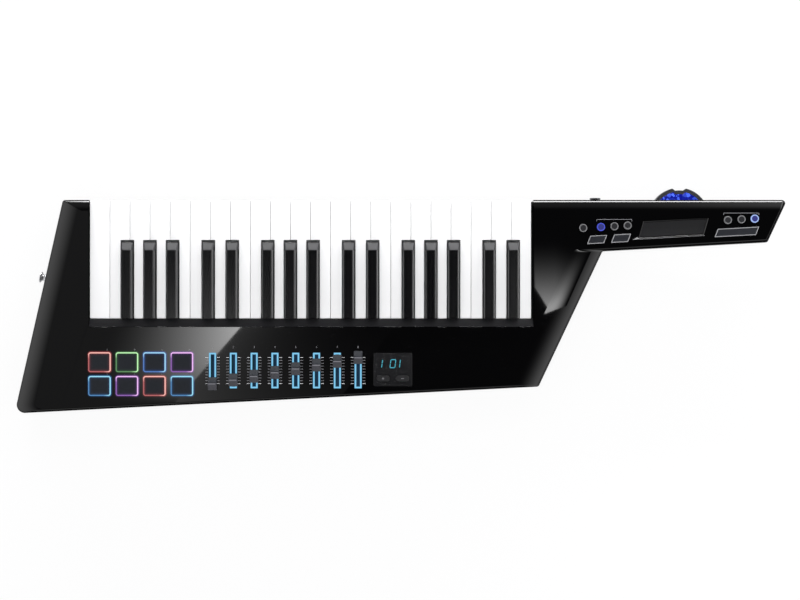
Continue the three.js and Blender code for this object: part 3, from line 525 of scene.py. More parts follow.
class Tree:
    """The node tree of a material or a world, drawn up node by node."""

    def __init__(self, owner: Material | bpy.types.World, output: str) -> None:
        """Empties the owner's tree and gives it an output node of the given kind."""
        owner.use_nodes = True
        self.tree = owner.node_tree
        self.tree.nodes.clear()
        self.output = self.add(output)

    def put(self, node: bpy.types.Node, inputs: Mapping[str | int, Any]) -> None:
        """Sets a node's inputs. A socket is linked to its input, anything else is its value."""
        for name, value in inputs.items():
            if isinstance(value, Socket):
                self.tree.links.new(value, node.inputs[name])
            else:
                node.inputs[name].default_value = value

    def add(
        self, kind: str, inputs: Optional[Mapping[str | int, Any]] = None, **settings: str
    ) -> bpy.types.Node:
        """Adds a node.

        Args:
            kind: its type without the word that all shader nodes start with.
            inputs: sockets or values by the input's name or number.
            settings: the node's own properties.
        Returns:
            The node.
        """
        node = self.tree.nodes.new(f"ShaderNode{kind}")
        for name, value in settings.items():
            setattr(node, name, value)
        self.put(node, inputs or {})
        return node

    def surface(self, shader: Socket) -> None:
        """Leads a shader to the output."""
        self.tree.links.new(shader, self.output.inputs["Surface"])

    def math(self, operation: str, first: Socket, second: Socket | float) -> Socket:
        """The product, maximum or the like of two values."""
        return self.add("Math", {0: first, 1: second}, operation=operation).outputs["Value"]

    def mapped(
        self, value: Socket, source: Span = (0, 1), target: Span = (0, 1), kind: str = "LINEAR"
    ) -> Socket:
        """A number led from one span to another, and held at its ends."""
        names = ("From Min", "From Max", "To Min", "To Max")
        inputs = {"Value": value, **dict(zip(names, (*source, *target)))}
        return self.add("MapRange", inputs, interpolation_type=kind).outputs["Result"]

    def part(self, vector: Socket, name: str) -> Socket:
        """One part, X, Y or Z, of a vector."""
        return self.add("SeparateXYZ", {"Vector": vector}).outputs[name]

    def mixed(self, share: Socket, first: Socket, second: Socket) -> Socket:
        """The second shader by a share over the first."""
        return self.add("MixShader", {"Fac": share, 1: first, 2: second}).outputs["Shader"]


class Sheet(Tree):
    """A material drawn up round one Principled shader."""

    def __init__(self, name: str) -> None:
        """Starts the material."""
        self.material = bpy.data.materials.new(name)
        super().__init__(self.material, "OutputMaterial")
        self.shader = self.add("BsdfPrincipled")
        self.surface(self.shader.outputs["BSDF"])
        self.place = self.add("TexCoord").outputs["Object"]

    def noise(self, size: float, detail: float = 2) -> Socket:
        """A noise whose lumps are about size metres across."""
        inputs = {"Vector": self.place, "Scale": 1 / size, "Detail": detail}
        return self.add("TexNoise", inputs).outputs["Fac"]

    def cells(self, size: float) -> Socket:
        """The colours of Voronoi cells that are about size metres across."""
        return self.add("TexVoronoi", {"Vector": self.place, "Scale": 1 / size}).outputs["Color"]

    def marks(self) -> Socket:
        """The piece's own attribute "glow"."""
        return self.add("Attribute", attribute_name="glow").outputs["Fac"]

    def blend(self, factor: Socket, low: Sequence[float], high: Sequence[float]) -> Socket:
        """A colour between low and high by factor."""
        inputs = {"A": (*low, 1), "B": (*high, 1), "Factor": factor}
        return self.add("Mix", inputs, data_type="RGBA").outputs["Result"]

    def cloudy(self, factor: Socket, colour: Sequence[float], wander: float) -> Socket:
        """A colour that wanders by a share of itself to either side."""
        base = np.array(colour)
        return self.blend(factor, base * (1 - wander), np.minimum(base * (1 + wander), 1))

    def facing(self, name: str, low: float, high: float) -> Socket:
        """0 where one part of the surface's normal is at low, 1 where it is at high."""
        normal = self.add("NewGeometry").outputs["Normal"]
        return self.mapped(self.part(normal, name), (low, high))

    def relief(self, height: Socket, depth: float) -> None:
        """Bumps the surface by height, depth metres deep."""
        bump = self.add("Bump", {"Distance": depth, "Strength": 1.0, "Height": height})
        self.put(self.shader, {"Normal": bump.outputs["Normal"]})

    def dressed(self, inputs: Mapping[str, Any]) -> Material:
        """Sets the shader's inputs and gives the material."""
        self.put(self.shader, inputs)
        return self.material


class Finish:
    """A finish, which builds its own material."""

    def material(self) -> Material:
        """Builds the material."""
        raise NotImplementedError


def made(finish: Finish) -> Any:
    """A dataclass field that holds a finish's material."""
    return field(default_factory=finish.material)


@dataclass(frozen=True)
class Moulded(Finish):
    """A moulded or rubbery finish: an even colour with faint cloudiness and a fine grain.

    Args:
        name: the material's name.
        colour: linear colour.
        roughness: mean roughness.
        cloud: share by which colour and roughness wander.
        grain: depth of the grain.
        grain_size: width of the grain.
        metallic: 1 for metal.
        specular: the shader's specular level.
        cloud_size: width of the clouds.
    """

    name: str
    colour: Colour
    roughness: float
    cloud: float = 0.12
    grain: float = 0.0
    grain_size: float = 0.0006
    metallic: float = 0.0
    specular: float = 0.5
    cloud_size: float = 0.03

    def material(self) -> Material:
        """Builds the material."""
        sheet = Sheet(self.name)
        cloud = sheet.noise(self.cloud_size, 3)
        rough = (self.roughness * (1 - self.cloud), self.roughness * (1 + self.cloud))
        if self.grain:
            sheet.relief(sheet.noise(self.grain_size), self.grain)
        return sheet.dressed(
            {
                "Base Color": sheet.cloudy(cloud, self.colour, self.cloud),
                "Roughness": sheet.mapped(cloud, target=rough),
                "Metallic": self.metallic,
                "Specular IOR Level": self.specular,
            }
        )


@dataclass(frozen=True)
class Lit(Finish):
    """A finish that glows by the attribute "glow", from a deep colour to a bright one.

    Args:
        name: the material's name.
        deep: linear colour where glow is 0.
        bright: linear colour where glow is 1.
        base: linear colour of the unlit surface.
        roughness: its roughness.
        fade: True where the light dies out at glow 0.
        specular: the shader's specular level.
        wander: share by which the unlit colour wanders.
        cloud_size: width of its clouds.
    """

    name: str
    deep: Colour
    bright: Colour
    base: Colour = (0.02, 0.02, 0.02)
    roughness: float = 0.4
    fade: bool = False
    specular: float = 0.2
    wander: float = 0.15
    cloud_size: float = 0.004

    def material(self) -> Material:
        """Builds the material."""
        sheet = Sheet(self.name)
        marks = sheet.marks()
        return sheet.dressed(
            {
                "Base Color": sheet.cloudy(sheet.noise(self.cloud_size), self.base, self.wander),
                "Roughness": self.roughness,
                "Specular IOR Level": self.specular,
                "Emission Color": sheet.blend(marks, self.deep, self.bright),
                "Emission Strength": sheet.mapped(marks) if self.fade else 1.0,
            }
        )


def even_light(name: str, red: float, green: float, blue: float) -> Lit:
    """A light of one tone, given as it is seen on screen."""
    return Lit(name, shade(red, green, blue), shade(red, green, blue))


@dataclass(frozen=True)
class GlossPanel(Finish):
    """The gloss of the front housing. Its narrow edge has its reflection turned off where it is
    steep or faces right, a painted shade, and its walls below that mirror as the panel does.

    Args:
        name: the material's name.
        colour: linear colour.
        roughness: its roughness.
        wander: share by which both wander.
        cloud_size: width of the clouds.
        edge_start: height at which the edge with the painted shade starts.
        edge_blend: height over which it sets in.
        upward: Z part of the normal where the edge is dull, and where it mirrors in full.
        rightward: X part of the normal, likewise.
    """

    name: str = "gloss black"
    colour: Colour = (0.0016, 0.0016, 0.0018)
    roughness: float = 0.02
    wander: float = 0.1
    cloud_size: float = 0.03
    edge_start: float = 0.048
    edge_blend: float = 0.0002
    upward: Span = (0.5, 0.78)
    rightward: Span = (0.46, 0.32)

    def material(self) -> Material:
        """Builds the material."""
        sheet = Sheet(self.name)
        cloud = sheet.noise(self.cloud_size, 3)
        rough = (self.roughness * (1 - self.wander), self.roughness * (1 + self.wander))
        height = sheet.part(sheet.place, "Z")
        below = sheet.mapped(height, (self.edge_start + self.edge_blend, self.edge_start))
        up, right = sheet.facing("Z", *self.upward), sheet.facing("X", *self.rightward)
        either = sheet.math("MAXIMUM", below, sheet.math("MULTIPLY", up, right))
        return sheet.dressed(
            {
                "Base Color": sheet.cloudy(cloud, self.colour, self.wander),
                "Roughness": sheet.mapped(cloud, target=rough),
                # Specular level is 0 on the steep or right-facing edge: a painted shade.
                "Specular IOR Level": sheet.mapped(either, target=(0.0, 0.5)),
            }
        )


@dataclass(frozen=True)
class TwoTone(Finish):
    """A satin finish with a painted highlight, a coarser and paler stretch where glow is 1.
    Upright faces, and those that face left, mirror little, which paints shade on them.

    Args:
        name: the material's name.
        dark: linear colour where glow is 0.
        pale: linear colour of the painted highlight, where glow is 1.
        roughness: roughness where glow is 0 and where it is 1.
        grain: depth of the pale stretch's grain.
        specular: the shader's specular level where the surface mirrors in full.
        dull: its level where the surface mirrors little.
        grain_size: width of the grain.
        upward: Z part of the normal where the surface is dull, and where it mirrors in full.
        leftward: X part of the normal, likewise.
    """

    name: str
    dark: Colour
    pale: Colour
    roughness: Span
    grain: float = 0.00006
    specular: float = 0.5
    dull: float = 0.04
    grain_size: float = 0.0012
    upward: Span = (0.15, 0.3)
    leftward: Span = (-0.5, -0.1)

    def material(self) -> Material:
        """Builds the material."""
        sheet = Sheet(self.name)
        marks = sheet.marks()
        up, left = sheet.facing("Z", *self.upward), sheet.facing("X", *self.leftward)
        full = sheet.math("MULTIPLY", up, left)
        sheet.relief(sheet.math("MULTIPLY", sheet.noise(self.grain_size), marks), self.grain)
        return sheet.dressed(
            {
                # The paler colour where glow is 1 is a painted highlight, and the low specular on
                # upright faces and on faces turned left is painted shade.
                "Base Color": sheet.blend(marks, self.dark, self.pale),
                "Roughness": sheet.mapped(marks, target=self.roughness),
                "Specular IOR Level": sheet.mapped(full, target=(self.dull, self.specular)),
            }
        )


@dataclass(frozen=True)
class WheelGlass(Finish):
    """The bend wheel's lit side: blue with its own light, broken into facets whose bright and deep
    tones are painted glints.

    Args:
        name: the material's name.
        facet_size: width of the facets.
        power: how strongly the facets lean to the deep tone.
        glow: deep and bright colour of the light.
        base: deep and bright colour of the unlit surface.
    """

    name: str = "blue lit glass"
    facet_size: float = 0.0036
    power: float = 4.5
    glow: tuple[Colour, Colour] = (shade(6, 12, 120), shade(90, 125, 255))
    base: tuple[Colour, Colour] = ((0.003, 0.006, 0.12), (0.01, 0.03, 0.5))

    def material(self) -> Material:
        """Builds the material."""
        sheet = Sheet(self.name)
        split = sheet.add("SeparateColor", {"Color": sheet.cells(self.facet_size)})
        # How bright each facet is, in its colour and its glow, is a painted glint.
        facets = sheet.math("POWER", split.outputs["Red"], self.power)
        return sheet.dressed(
            {
                "Base Color": sheet.blend(facets, *self.base),
                "Roughness": 0.15,
                "Emission Color": sheet.blend(facets, *self.glow),
                "Emission Strength": 1.0,
            }
        )


@dataclass(frozen=True)
class Finishes:
    """The finishes that more than one sub-assembly uses."""

    gloss: Material = made(GlossPanel())
    satin: Material = made(Moulded("satin black", (0.007, 0.007, 0.008), 0.5, 0.1, specular=0.2))
    matte: Material = made(Moulded("textured black", (0.018, 0.018, 0.019), 0.6, 0.12, 0.00004))
    rubber: Material = made(Moulded("pad silicone", (0.018, 0.019, 0.023), 0.62, 0.1, 0.00002))
    dark_rubber: Material = made(Moulded("dark silicone", (0.02, 0.02, 0.022), 0.6, 0.1, 0.00002))
    paint: Material = made(Moulded("pale print", shade(200, 200, 204), 0.5, 0.05))
    dim_paint: Material = made(Moulded("grey print", shade(118, 118, 122), 0.5, 0.05))
    frame_plastic: Material = made(Moulded("frame grey", (0.26, 0.27, 0.28), 0.55, 0.08))
    board: Material = made(Moulded("board green", (0.02, 0.11, 0.05), 0.5, 0.15))
    steel: Material = made(Moulded("zinc screw", (0.42, 0.42, 0.43), 0.32, 0.1, metallic=1.0))


@dataclass
class Housing:
    """The outer shape that the two housings share.

    The outline's corners run from the top left one counter-clockwise. Rolls are given in the order
    of its sides: left slant, lower edge, right slant, neck's underside, tip, straight edge.
    """

    keys_length: float = 517.0
    well_depth: float = 139.0
    well_left_gap: float = 0.5
    well_right_gap: float = 2.7
    rail_width: float = 9.8
    left_margin: float = 31.6
    left_lean: float = 56.7
    body_depth: float = 250.1
    lower_rise: float = 31.47
    lower_overhang: float = 8.6
    right_lean: float = 74.9
    root_depth: float = 60.1
    end_depth: float = 49.6
    neck_run: float = 193.2
    tip_lean: float = 23.1
    radii: tuple[float, ...] = (3.5, 9.6, 3.5, 3.0, 3.5, 3.9)
    panel_thick: float = 3.0
    wall: float = 3.0
    parting: float = 24.0
    parting_gap: float = 0.3
    edge_round: float = 1.0
    edge_steps: int = 6
    roll_drop: float = 5.0
    rolls: tuple[float, ...] = (24.0, 2.6, 30.0, 2.6, 2.6, 12.0)
    roll_steps: int = 14
    arc_steps: int = 9
    back_inset: float = 10.0
    back_round: float = 2.4
    back_steps: int = 5
    draft_inset: float = 1.2
    draft_drop: float = 4.0
    neck_back: float = 21.0
    slope_start: float = 5.0
    slope_run: float = 60.0

    def outline(self) -> Array:
        """The six corners of the housings, with their radii."""
        lower_x = self.keys_length + self.lower_overhang
        root_x = lower_x + self.right_lean
        end_x = root_x + self.neck_run
        places = [
            (-self.left_margin, 0),
            (-self.left_margin - self.left_lean, -self.body_depth),
            (lower_x, -self.body_depth + self.lower_rise),
            (root_x, -self.root_depth),
            (end_x, -self.end_depth),
            (end_x + self.tip_lean, 0),
        ]
        return np.array([(x, y, radius) for (x, y), radius in zip(places, self.radii)])

    def well(self) -> tuple[Span, float]:
        """Left and right end of the key well, and the far side of the rail behind the keys."""
        x = (-self.well_left_gap, self.keys_length + self.well_right_gap)
        return x, -self.well_depth - self.rail_width

    def ring(self, insets: Array | float, height: float) -> Array:
        """The outline moved in and set at a height."""
        return level(rounded(moved_in(self.outline(), insets), self.arc_steps), height)

    def front_skin(self, bottom: float, inset: float, drop: float) -> Form:
        """The front housing's outer skin: an upright wall, a quarter round of edge_round, and a
        roll. A share s of each side's own roll width goes with 1 - (1 - s) squared of the drop.

        Args:
            bottom: height of the lower rim.
            inset: how far inside the outline the wall stands.
            drop: how far below the panel the flat lies.
        Returns:
            The form.
        """
        shoulder = PANEL_TOP - self.roll_drop - drop
        rings = [self.ring(inset, bottom)]
        for inwards, short in quarter(self.edge_steps):
            height = shoulder - self.edge_round * short
            rings.append(self.ring(inset + self.edge_round * inwards, height))
        for share in np.linspace(0, 1, self.roll_steps + 1)[1:]:
            insets = inset + self.edge_round + np.array(self.rolls) * share
            rings.append(self.ring(insets, shoulder + self.roll_drop * (1 - (1 - share) ** 2)))
        return through(rings)

    def rear_skin(self, inset: float, lift: float, top: float) -> Form:
        """The rear housing's outer skin: a flat back, a quarter round and two drafts.

        Args:
            inset: how far inside the outline it stands.
            lift: height of its flat.
            top: height of its upper rim.
        Returns:
            The form.
        """
        rise = self.parting - self.parting_gap / 2
        rings = []
        for inwards, short in quarter(self.back_steps):
            step = self.back_inset - self.back_round * (1 - short)
            rings.append(self.ring(inset + step, lift + self.back_round * inwards))
        rings.append(self.ring(inset + self.draft_inset, lift + rise - self.draft_drop))
        rings.append(self.ring(inset, top))
        return through(rings)

    def under_neck(self, lift: float) -> Form:
        """The room behind the neck: all below a line that climbs from the back to the neck."""
        start, top, end = self.outline()[3, 0] + self.slope_start, self.neck_back + lift, 1000.0
        slope_end = start + self.slope_run
        side = [(top, slope_end), (top, end), (-end, end), (-end, start), (lift, start)]
        return prism(np.array(side), -end, end, Axis.Y)


@dataclass
class Controls:
    """Places of the controls on the panel, worked out from the CAD boxes."""

    bench: Bench
    housing: Housing
    pad_width: float = 28.2
    pad_depth: float = 23.7
    pad_pitch_x: float = 32.1
    pad_pitch_y: float = 27.7
    pad_margin: float = 2.0
    slot_width: float = 4.2
    slot_length: float = 37.8
    round_radius: float = 4.7
    round_line: float = 28.4
    rounds_from_root: tuple[float, ...] = (-23.1, -2.3, 13.4, 28.8)
    rounds_from_end: tuple[float, ...] = (-47.3, -31.3, -15.8)
    blade_lengths: Span = (20.6, 49.2)
    blade_height: float = 10.2
    blade_slant: float = 4.6
    blade_line: float = 14.0
    blade_corner: float = 0.8
    strip_from_root: float = 82.6
    strip_line: float = 22.6
    strip_size: Span = (79.0, 21.2)
    strip_slant: float = 7.6
    strip_corner: float = 2.0
    lens_gap: float = 0.3
    pill_share: Span = (0.25, 0.265)

    def pads(self) -> list[Span]:
        """Centres of the eight pads, row by row from the key side."""
        low, high = self.bench.box("pad_mat")
        x = low[0] + self.pad_margin + self.pad_width / 2
        y = high[1] - self.pad_margin - self.pad_depth / 2
        steps = [(column, row) for row in range(2) for column in range(4)]
        return [(x + i * self.pad_pitch_x, y - j * self.pad_pitch_y) for i, j in steps]

    def faders(self) -> list[tuple[float, float, float]]:
        """For each fader, the middle of its slot and its cap's place along the slot."""
        middles = [sum(self.bench.box(f"fader_{i}")) / 2 for i in range(1, 9)]
        middle = float(middles[0][1] + middles[-1][1]) / 2
        return [(float(x), middle, float(y)) for x, y, _ in middles]

    def neck_line(self, x: float, above: float) -> float:
        """The y of a point that lies a given distance above the neck's underside."""
        corners = self.housing.outline()
        slope = (corners[4, 1] - corners[3, 1]) / self.housing.neck_run
        return float(corners[3, 1] + (x - corners[3, 0]) * slope + above)

    def rounds(self) -> list[Span]:
        """Centres of the seven round buttons, from the neck's root to its tip."""
        root, end = self.housing.outline()[3:5, 0]
        xs = [root + x for x in self.rounds_from_root] + [end + x for x in self.rounds_from_end]
        return [(x, self.neck_line(x, self.round_line)) for x in xs]

    def leaning(self, x: float, line: float, size: Span, slant: float, radius: float) -> Array:
        """The corners of a leaning four-sided outline level with the neck's underside.

        Args:
            x: its middle.
            line: distance of its middle above the underside.
            size: length of its long sides, and the distance between them.
            slant: how far the upper side is shifted.
            radius: corner radius.
        Returns:
            The corners.
        """
        length, height = size
        housing = self.housing
        tilt = math.atan((housing.root_depth - housing.end_depth) / housing.neck_run)
        across = np.array([-length - slant, length - slant, length + slant, -length + slant]) / 2
        over = np.array([-height, -height, height, height]) / 2
        px = x + across * math.cos(tilt) - over * math.sin(tilt)
        py = self.neck_line(x, line) + across * math.sin(tilt) + over * math.cos(tilt)
        return np.stack([px, py, np.full(4, radius)], axis=1)

    def blades(self) -> dict[str, Array]:
        """The outlines of the three leaning buttons, by node."""
        short, long = self.blade_lengths
        result = {}
        for node in ("octave_down_button", "octave_up_button", "sustain_button"):
            low, high = self.bench.box(node)
            size = (long if high[0] - low[0] > 2 * short else short, self.blade_height)
            x = float(low[0] + high[0]) / 2
            result[node] = self.leaning(
                x, self.blade_line, size, self.blade_slant, self.blade_corner
            )
        return result

    def strip(self) -> Array:
        """The outline of the touch strip's recess."""
        x = self.housing.outline()[3, 0] + self.strip_from_root
        return self.leaning(
            x, self.strip_line, self.strip_size, self.strip_slant, self.strip_corner
        )

    def display(self) -> tuple[float, float, float, float]:
        """Middle, width and depth of the display's window."""
        low, high = self.bench.box("display_lens")
        width, depth = (high - low)[:2] + 2 * self.lens_gap
        return (low[0] + high[0]) / 2, (low[1] + high[1]) / 2, width, depth

    def pills(self) -> list[Span]:
        """Centres of the two pill buttons below the display."""
        x, y, width, depth = self.display()
        aside, down = self.pill_share
        return [(x + side * width * aside, y - depth * down) for side in (-1, 1)]

    def wheel(self) -> Span:
        """The bend wheel's axis, where its joint has it."""
        joints = frame["record"]["behaviour"]["joints"]
        turn = next(joint for joint in joints if joint["name"] == "pitch_wheel_turn")
        x, y, _ = self.bench.to_part(turn["pos_m"])
        return float(x), float(y)


@dataclass
class Assembly:
    """What every sub-assembly is built with.

    Args:
        bench: makes its pieces.
        controls: places of the controls.
        finishes: the shared finishes.
    """

    bench: Bench
    controls: Controls
    finishes: Finishes

    @property
    def housing(self) -> Housing:
        """The shape of the housings."""
        return self.controls.housing

    def add(self, name: str, form: Form, finish: Material, slot: str, *fitting: Any) -> None:
        """Makes a piece of a form and fits it.

        Args:
            name: the piece's name.
            form: its shape.
            finish: its material.
            slot: the record's slot; not used.
            fitting: its body, and the CAD nodes that it replaces.
        """
        self.bench.fit(self.bench.make(name, form), finish, slot, *fitting)

    def build(self) -> None:
        """Builds all of the sub-assembly."""
        raise NotImplementedError


@dataclass
class FrontHousing(Assembly):
    """Builds the gloss shell, the key rail and the touch strip's parts."""

    over: float = 1.0
    corner_radius: float = 3.0
    lens_seat: float = 2.0
    lens_ledge: float = 2.8
    hole_gap: float = 0.3
    sink: float = 3.0
    scoop_width: float = 2.4
    scoop_steps: int = 7
    tray_depth: float = 5.0
    tray_wall: float = 2.0
    wheel_radius: float = 35.0
    wheel_gap: float = 0.8
    wheel_slot_top: float = 42.4
    rail_gap: float = 0.35
    rail_drop: float = 3.5
    rail_thick: float = 3.4
    rail_edge: float = 0.3
    rail_end: float = 0.2
    # These four sizes outline a pale sliver along the touch strip's rim, a painted highlight.
    bead_tip: float = 5.5
    bead_head: float = 2.2
    bead_thin: float = 0.28
    bead_reach: float = 3.0
    strip_satin: Material = made(
        Moulded("touch strip satin", (0.011, 0.011, 0.012), 0.45, 0.1, 0.00001, specular=0.25)
    )
    # A pale colour for the sliver along the touch strip's rim: a painted highlight.
    strip_edge: Material = made(Moulded("strip highlight", shade(150, 150, 152), 0.25, 0.05))

    def cuts(self) -> Form:
        """All the openings of the shell as one tool."""
        controls, top = self.controls, PANEL_TOP
        panel = (top - 2 * self.housing.panel_thick, top + self.over)
        well, rail_back = self.housing.well()
        forms = [brick(well, (rail_back, FAR), (0, FAR))]
        for place in controls.pads():
            pad = rectangle(controls.pad_width, controls.pad_depth, self.corner_radius, *place)
            forms.append(slab(pad, *panel))
        width = controls.slot_width
        for x, y, _ in controls.faders():
            forms.append(slab(rectangle(width, controls.slot_length, width / 4, x, y), *panel))
        x, y, width, depth = controls.display()
        ledge = 2 * self.lens_ledge
        seat, window = rectangle(width, depth, 2, x, y), (width - ledge, depth - ledge, 0.5, x, y)
        forms.append(slab(seat, top - self.lens_seat, panel[1]))
        forms.append(slab(rectangle(*window), panel[0], top - 1))
        radius = controls.round_radius + self.hole_gap
        for x, y in controls.rounds():
            forms.append(turned([(radius, z) for z in panel], (x, y, 0)))
        forms += [slab(outline, *panel) for outline in controls.blades().values()]
        return all_of(forms)

    def scoop(self) -> Form:
        """The touch strip's recess as a tool: at angle a its wall lies scoop_width * (1 - cos a)
        inside its rim and sink * sin a below the panel."""
        outline = self.controls.strip()
        rings = []
        for inwards, short in quarter(self.scoop_steps)[::-1]:
            points = rounded(moved_in(outline, self.scoop_width * inwards), 6)
            rings.append(level(points, PANEL_TOP - self.sink * (1 - short)))
        rings.append(level(rounded(outline, 6), PANEL_TOP + self.over))
        return through(rings)

    def wheel_slot(self) -> Form:
        """The opening in the straight wall that the bend wheel turns in."""
        x, y = self.controls.wheel()
        wall = self.housing.wall
        half = math.sqrt(self.wheel_radius**2 - (-y - wall) ** 2) + self.wheel_gap
        depth = (-wall - self.housing.edge_round, FAR)
        return brick((x - half, x + half), depth, (0, self.wheel_slot_top))

    def shell(self) -> None:
        """The front housing: its skin, hollowed by the same skin moved in, with every opening."""
        housing, bench = self.housing, self.bench
        bottom = housing.parting + housing.parting_gap / 2
        (left, right), back = housing.well()
        wall, deep = housing.wall, (0, FAR)
        hollow = bench.make("hollow", housing.front_skin(bottom - 1, wall, housing.panel_thick))
        tray = moved_in(self.controls.strip(), -self.tray_wall)
        for form in (
            brick((left - wall, left), (back, 1), deep),
            brick((right, right + wall), (back, 1), deep),
            brick((left - wall, right + wall), (back - wall, back), deep),
            slab(tray, PANEL_TOP - self.tray_depth, PANEL_TOP),
        ):
            bench.carve(hollow, form)
        shell = bench.make("front_shell", housing.front_skin(bottom, 0, 0))
        for form in (bench.form_of(hollow), self.cuts(), self.scoop(), self.wheel_slot()):
            bench.carve(shell, form)
        discard(hollow)
        bench.fit(shell, self.finishes.gloss, "gloss_housing", replaces=["front_housing"])

    def rail(self) -> None:
        """The satin bar behind the keys, which slopes down towards them."""
        (left, right), rail_back = self.housing.well()
        back, front, edge = rail_back + self.rail_gap, -self.housing.well_depth, self.rail_edge
        top = PANEL_TOP - self.rail_drop
        low = top - self.rail_thick
        side = [(back, low, edge), (front, low, edge), (front, top, edge)]
        profile = np.array([*side, (back, PANEL_TOP - 0.15, edge)])
        end = self.rail_end
        bar = pillow(profile, left + end, right - end, end, end, 3, Axis.X)
        self.add("key_rail", bar, self.finishes.satin, "gloss_housing")

    def touch_strip(self) -> None:
        """The satin floor of the recess, and a pale sliver along its rim that is a painted
        highlight.
        """
        outline = self.controls.strip()
        floor = PANEL_TOP - self.sink
        pad = pillow(moved_in(outline, self.scoop_width - 0.2), floor - 0.05, floor + 0.25, 0.2)
        self.add("touch_strip_pad", pad, self.strip_satin, "gloss_housing")
        a, b = outline[0, :2], outline[1, :2]
        along = (b - a) / np.linalg.norm(b - a)
        over = np.array([-along[1], along[0]])
        tip = a - along * self.bead_tip - over * 0.4
        head = a - over * 0.1 + over * self.bead_head
        flat = [tip, b - over * self.bead_thin, b, a + along * self.bead_reach, head]
        # A thin pale sliver on the panel along the recess's rim: a painted highlight.
        painted_highlight = prism(np.array(flat), PANEL_TOP - 0.1, PANEL_TOP + 0.05)
        self.add("touch_strip_highlight", painted_highlight, self.strip_edge, "gloss_housing")

    def build(self) -> None:
        """Builds all of the front housing."""
        self.shell()
        self.rail()
        self.touch_strip()


@dataclass
class RearHousing(Assembly):
    """Builds the rear housing, its screws and the battery door."""

    floor: float = 3.0
    bay_wall: float = 2.0
    bay_block_z: Span = (1.0, 22.0)
    bay_ledge: float = 2.2
    bay_top: float = 20.0
    door_gap: float = 0.3
    lip_clear: float = 21.2
    strap_seat: float = 7.4
    door_edge: float = 0.35
    grip_ribs: int = 4
    grip_start: float = 4.0
    grip_pitch: float = 2.6
    grip_size: Span = (22.0, 1.1)
    grip_proud: float = 0.18
    screw_inset: float = 17.0
    screws_by_keys: tuple[Span, ...] = ((150.0, -20.0), (380.0, -20.0))
    screw_radius: float = 3.6
    screw_depth: float = 1.4
    screw_gap: float = 0.25
    screw_sides: int = 28
    cross: Span = (3.8, 0.9)

    def tray(self) -> Piece:
        """The rear shell: drafted walls, thin along the neck, with all its openings."""
        housing, bench = self.housing, self.bench
        top = housing.parting - housing.parting_gap / 2
        shell = bench.make("rear_shell", housing.rear_skin(0, 0, top))
        bench.carve(shell, housing.under_neck(0))
        inside = housing.rear_skin(housing.wall, self.floor, top + self.floor + 1)
        hollow = bench.make("hollow", inside)
        bench.carve(hollow, housing.under_neck(self.floor))
        low, high = bench.box("battery_door")
        x, y = ((low[i] - self.bay_wall, high[i] + self.bay_wall) for i in range(2))
        bench.carve(hollow, brick(x, y, self.bay_block_z))
        bench.carve(shell, bench.form_of(hollow))
        discard(hollow)
        bench.carve(shell, self.cuts())
        bench.fit(shell, self.finishes.matte, "matte_housing", replaces=["rear_housing"])
        return shell

    def cuts(self) -> Form:
        """The openings: under the key lips, the battery bay, the door's and a strap's seat."""
        low, high = self.bench.box("battery_door")
        ledge, gap = self.bay_ledge, self.door_gap
        well, _ = self.housing.well()
        strap_low, strap_high = self.bench.box("strap_button_neck")
        x, _, z = (strap_low + strap_high) / 2
        seat = [(self.strap_seat, 0), (self.strap_seat, 50)]
        bay_y = (low[1] + ledge, high[1] - 2 * ledge)
        door_x, door_y = ((low[i] - gap, high[i] + gap) for i in range(2))
        forms = [
            brick(well, (-self.housing.wall - 10, FAR), (self.lip_clear, FAR)),
            brick((low[0] + ledge, high[0] - ledge), bay_y, (-1, self.bay_top)),
            brick(door_x, door_y, (-1, high[2] + gap)),
            turned(seat, (x, strap_low[1], z), (0, 1, 0)),
        ]
        return all_of(forms)

    def door(self) -> None:
        """The battery door, a softened copy of the CAD one, with grip ribs at its free edge."""
        node, body, slot = "battery_door", "battery_door_body", "matte_housing"
        door = self.bench.copy_of(node, "battery_cover", self.door_edge, 2)
        self.bench.fit(door, self.finishes.matte, slot, body, [node])
        low, high = self.bench.box(node)
        middle, (length, width) = (low[0] + high[0]) / 2, self.grip_size
        ribs = []
        for i in range(self.grip_ribs):
            y = low[1] + self.grip_start + i * self.grip_pitch
            outline = rectangle(length, width, width / 2 - 0.01, middle, y)
            ribs.append(slab(outline, low[2] - self.grip_proud, low[2] + 0.3))
        self.add("battery_cover_grip", all_of(ribs), self.finishes.matte, slot, body)

    def screws(self, shell: Piece) -> None:
        """Six countersunk screws in the back, each a dish with a cross cut into its head."""
        inner = moved_in(self.housing.outline(), self.screw_inset)[:, :2]
        places = [*inner[:3], (inner[2] + inner[3]) / 2, *self.screws_by_keys]
        radius, hole = self.screw_radius, self.screw_radius + self.screw_gap
        dish = [(0.05, 0.12), (radius * 0.8, 0.12), (radius, 0.35), (radius, self.screw_depth)]
        well = [(hole, -1), (hole, self.screw_depth)]
        heads, slots, wells = [], [], []
        for x, y in places:
            heads.append(turned(dish, (x, y, 0), sides=self.screw_sides))
            wells.append(turned(well, (x, y, 0), sides=self.screw_sides))
            for arm, width in (self.cross, self.cross[::-1]):
                span = (x - arm / 2, x + arm / 2)
                slots.append(brick(span, (y - width / 2, y + width / 2), (-1, 0.7)))
        screws = self.bench.make("back_screws", all_of(heads))
        self.bench.carve(screws, all_of(slots))
        self.bench.fit(screws, self.finishes.steel, "matte_housing")
        self.bench.carve(shell, all_of(wells))

    def build(self) -> None:
        """Builds all of the rear housing."""
        shell = self.tray()
        self.door()
        self.screws(shell)


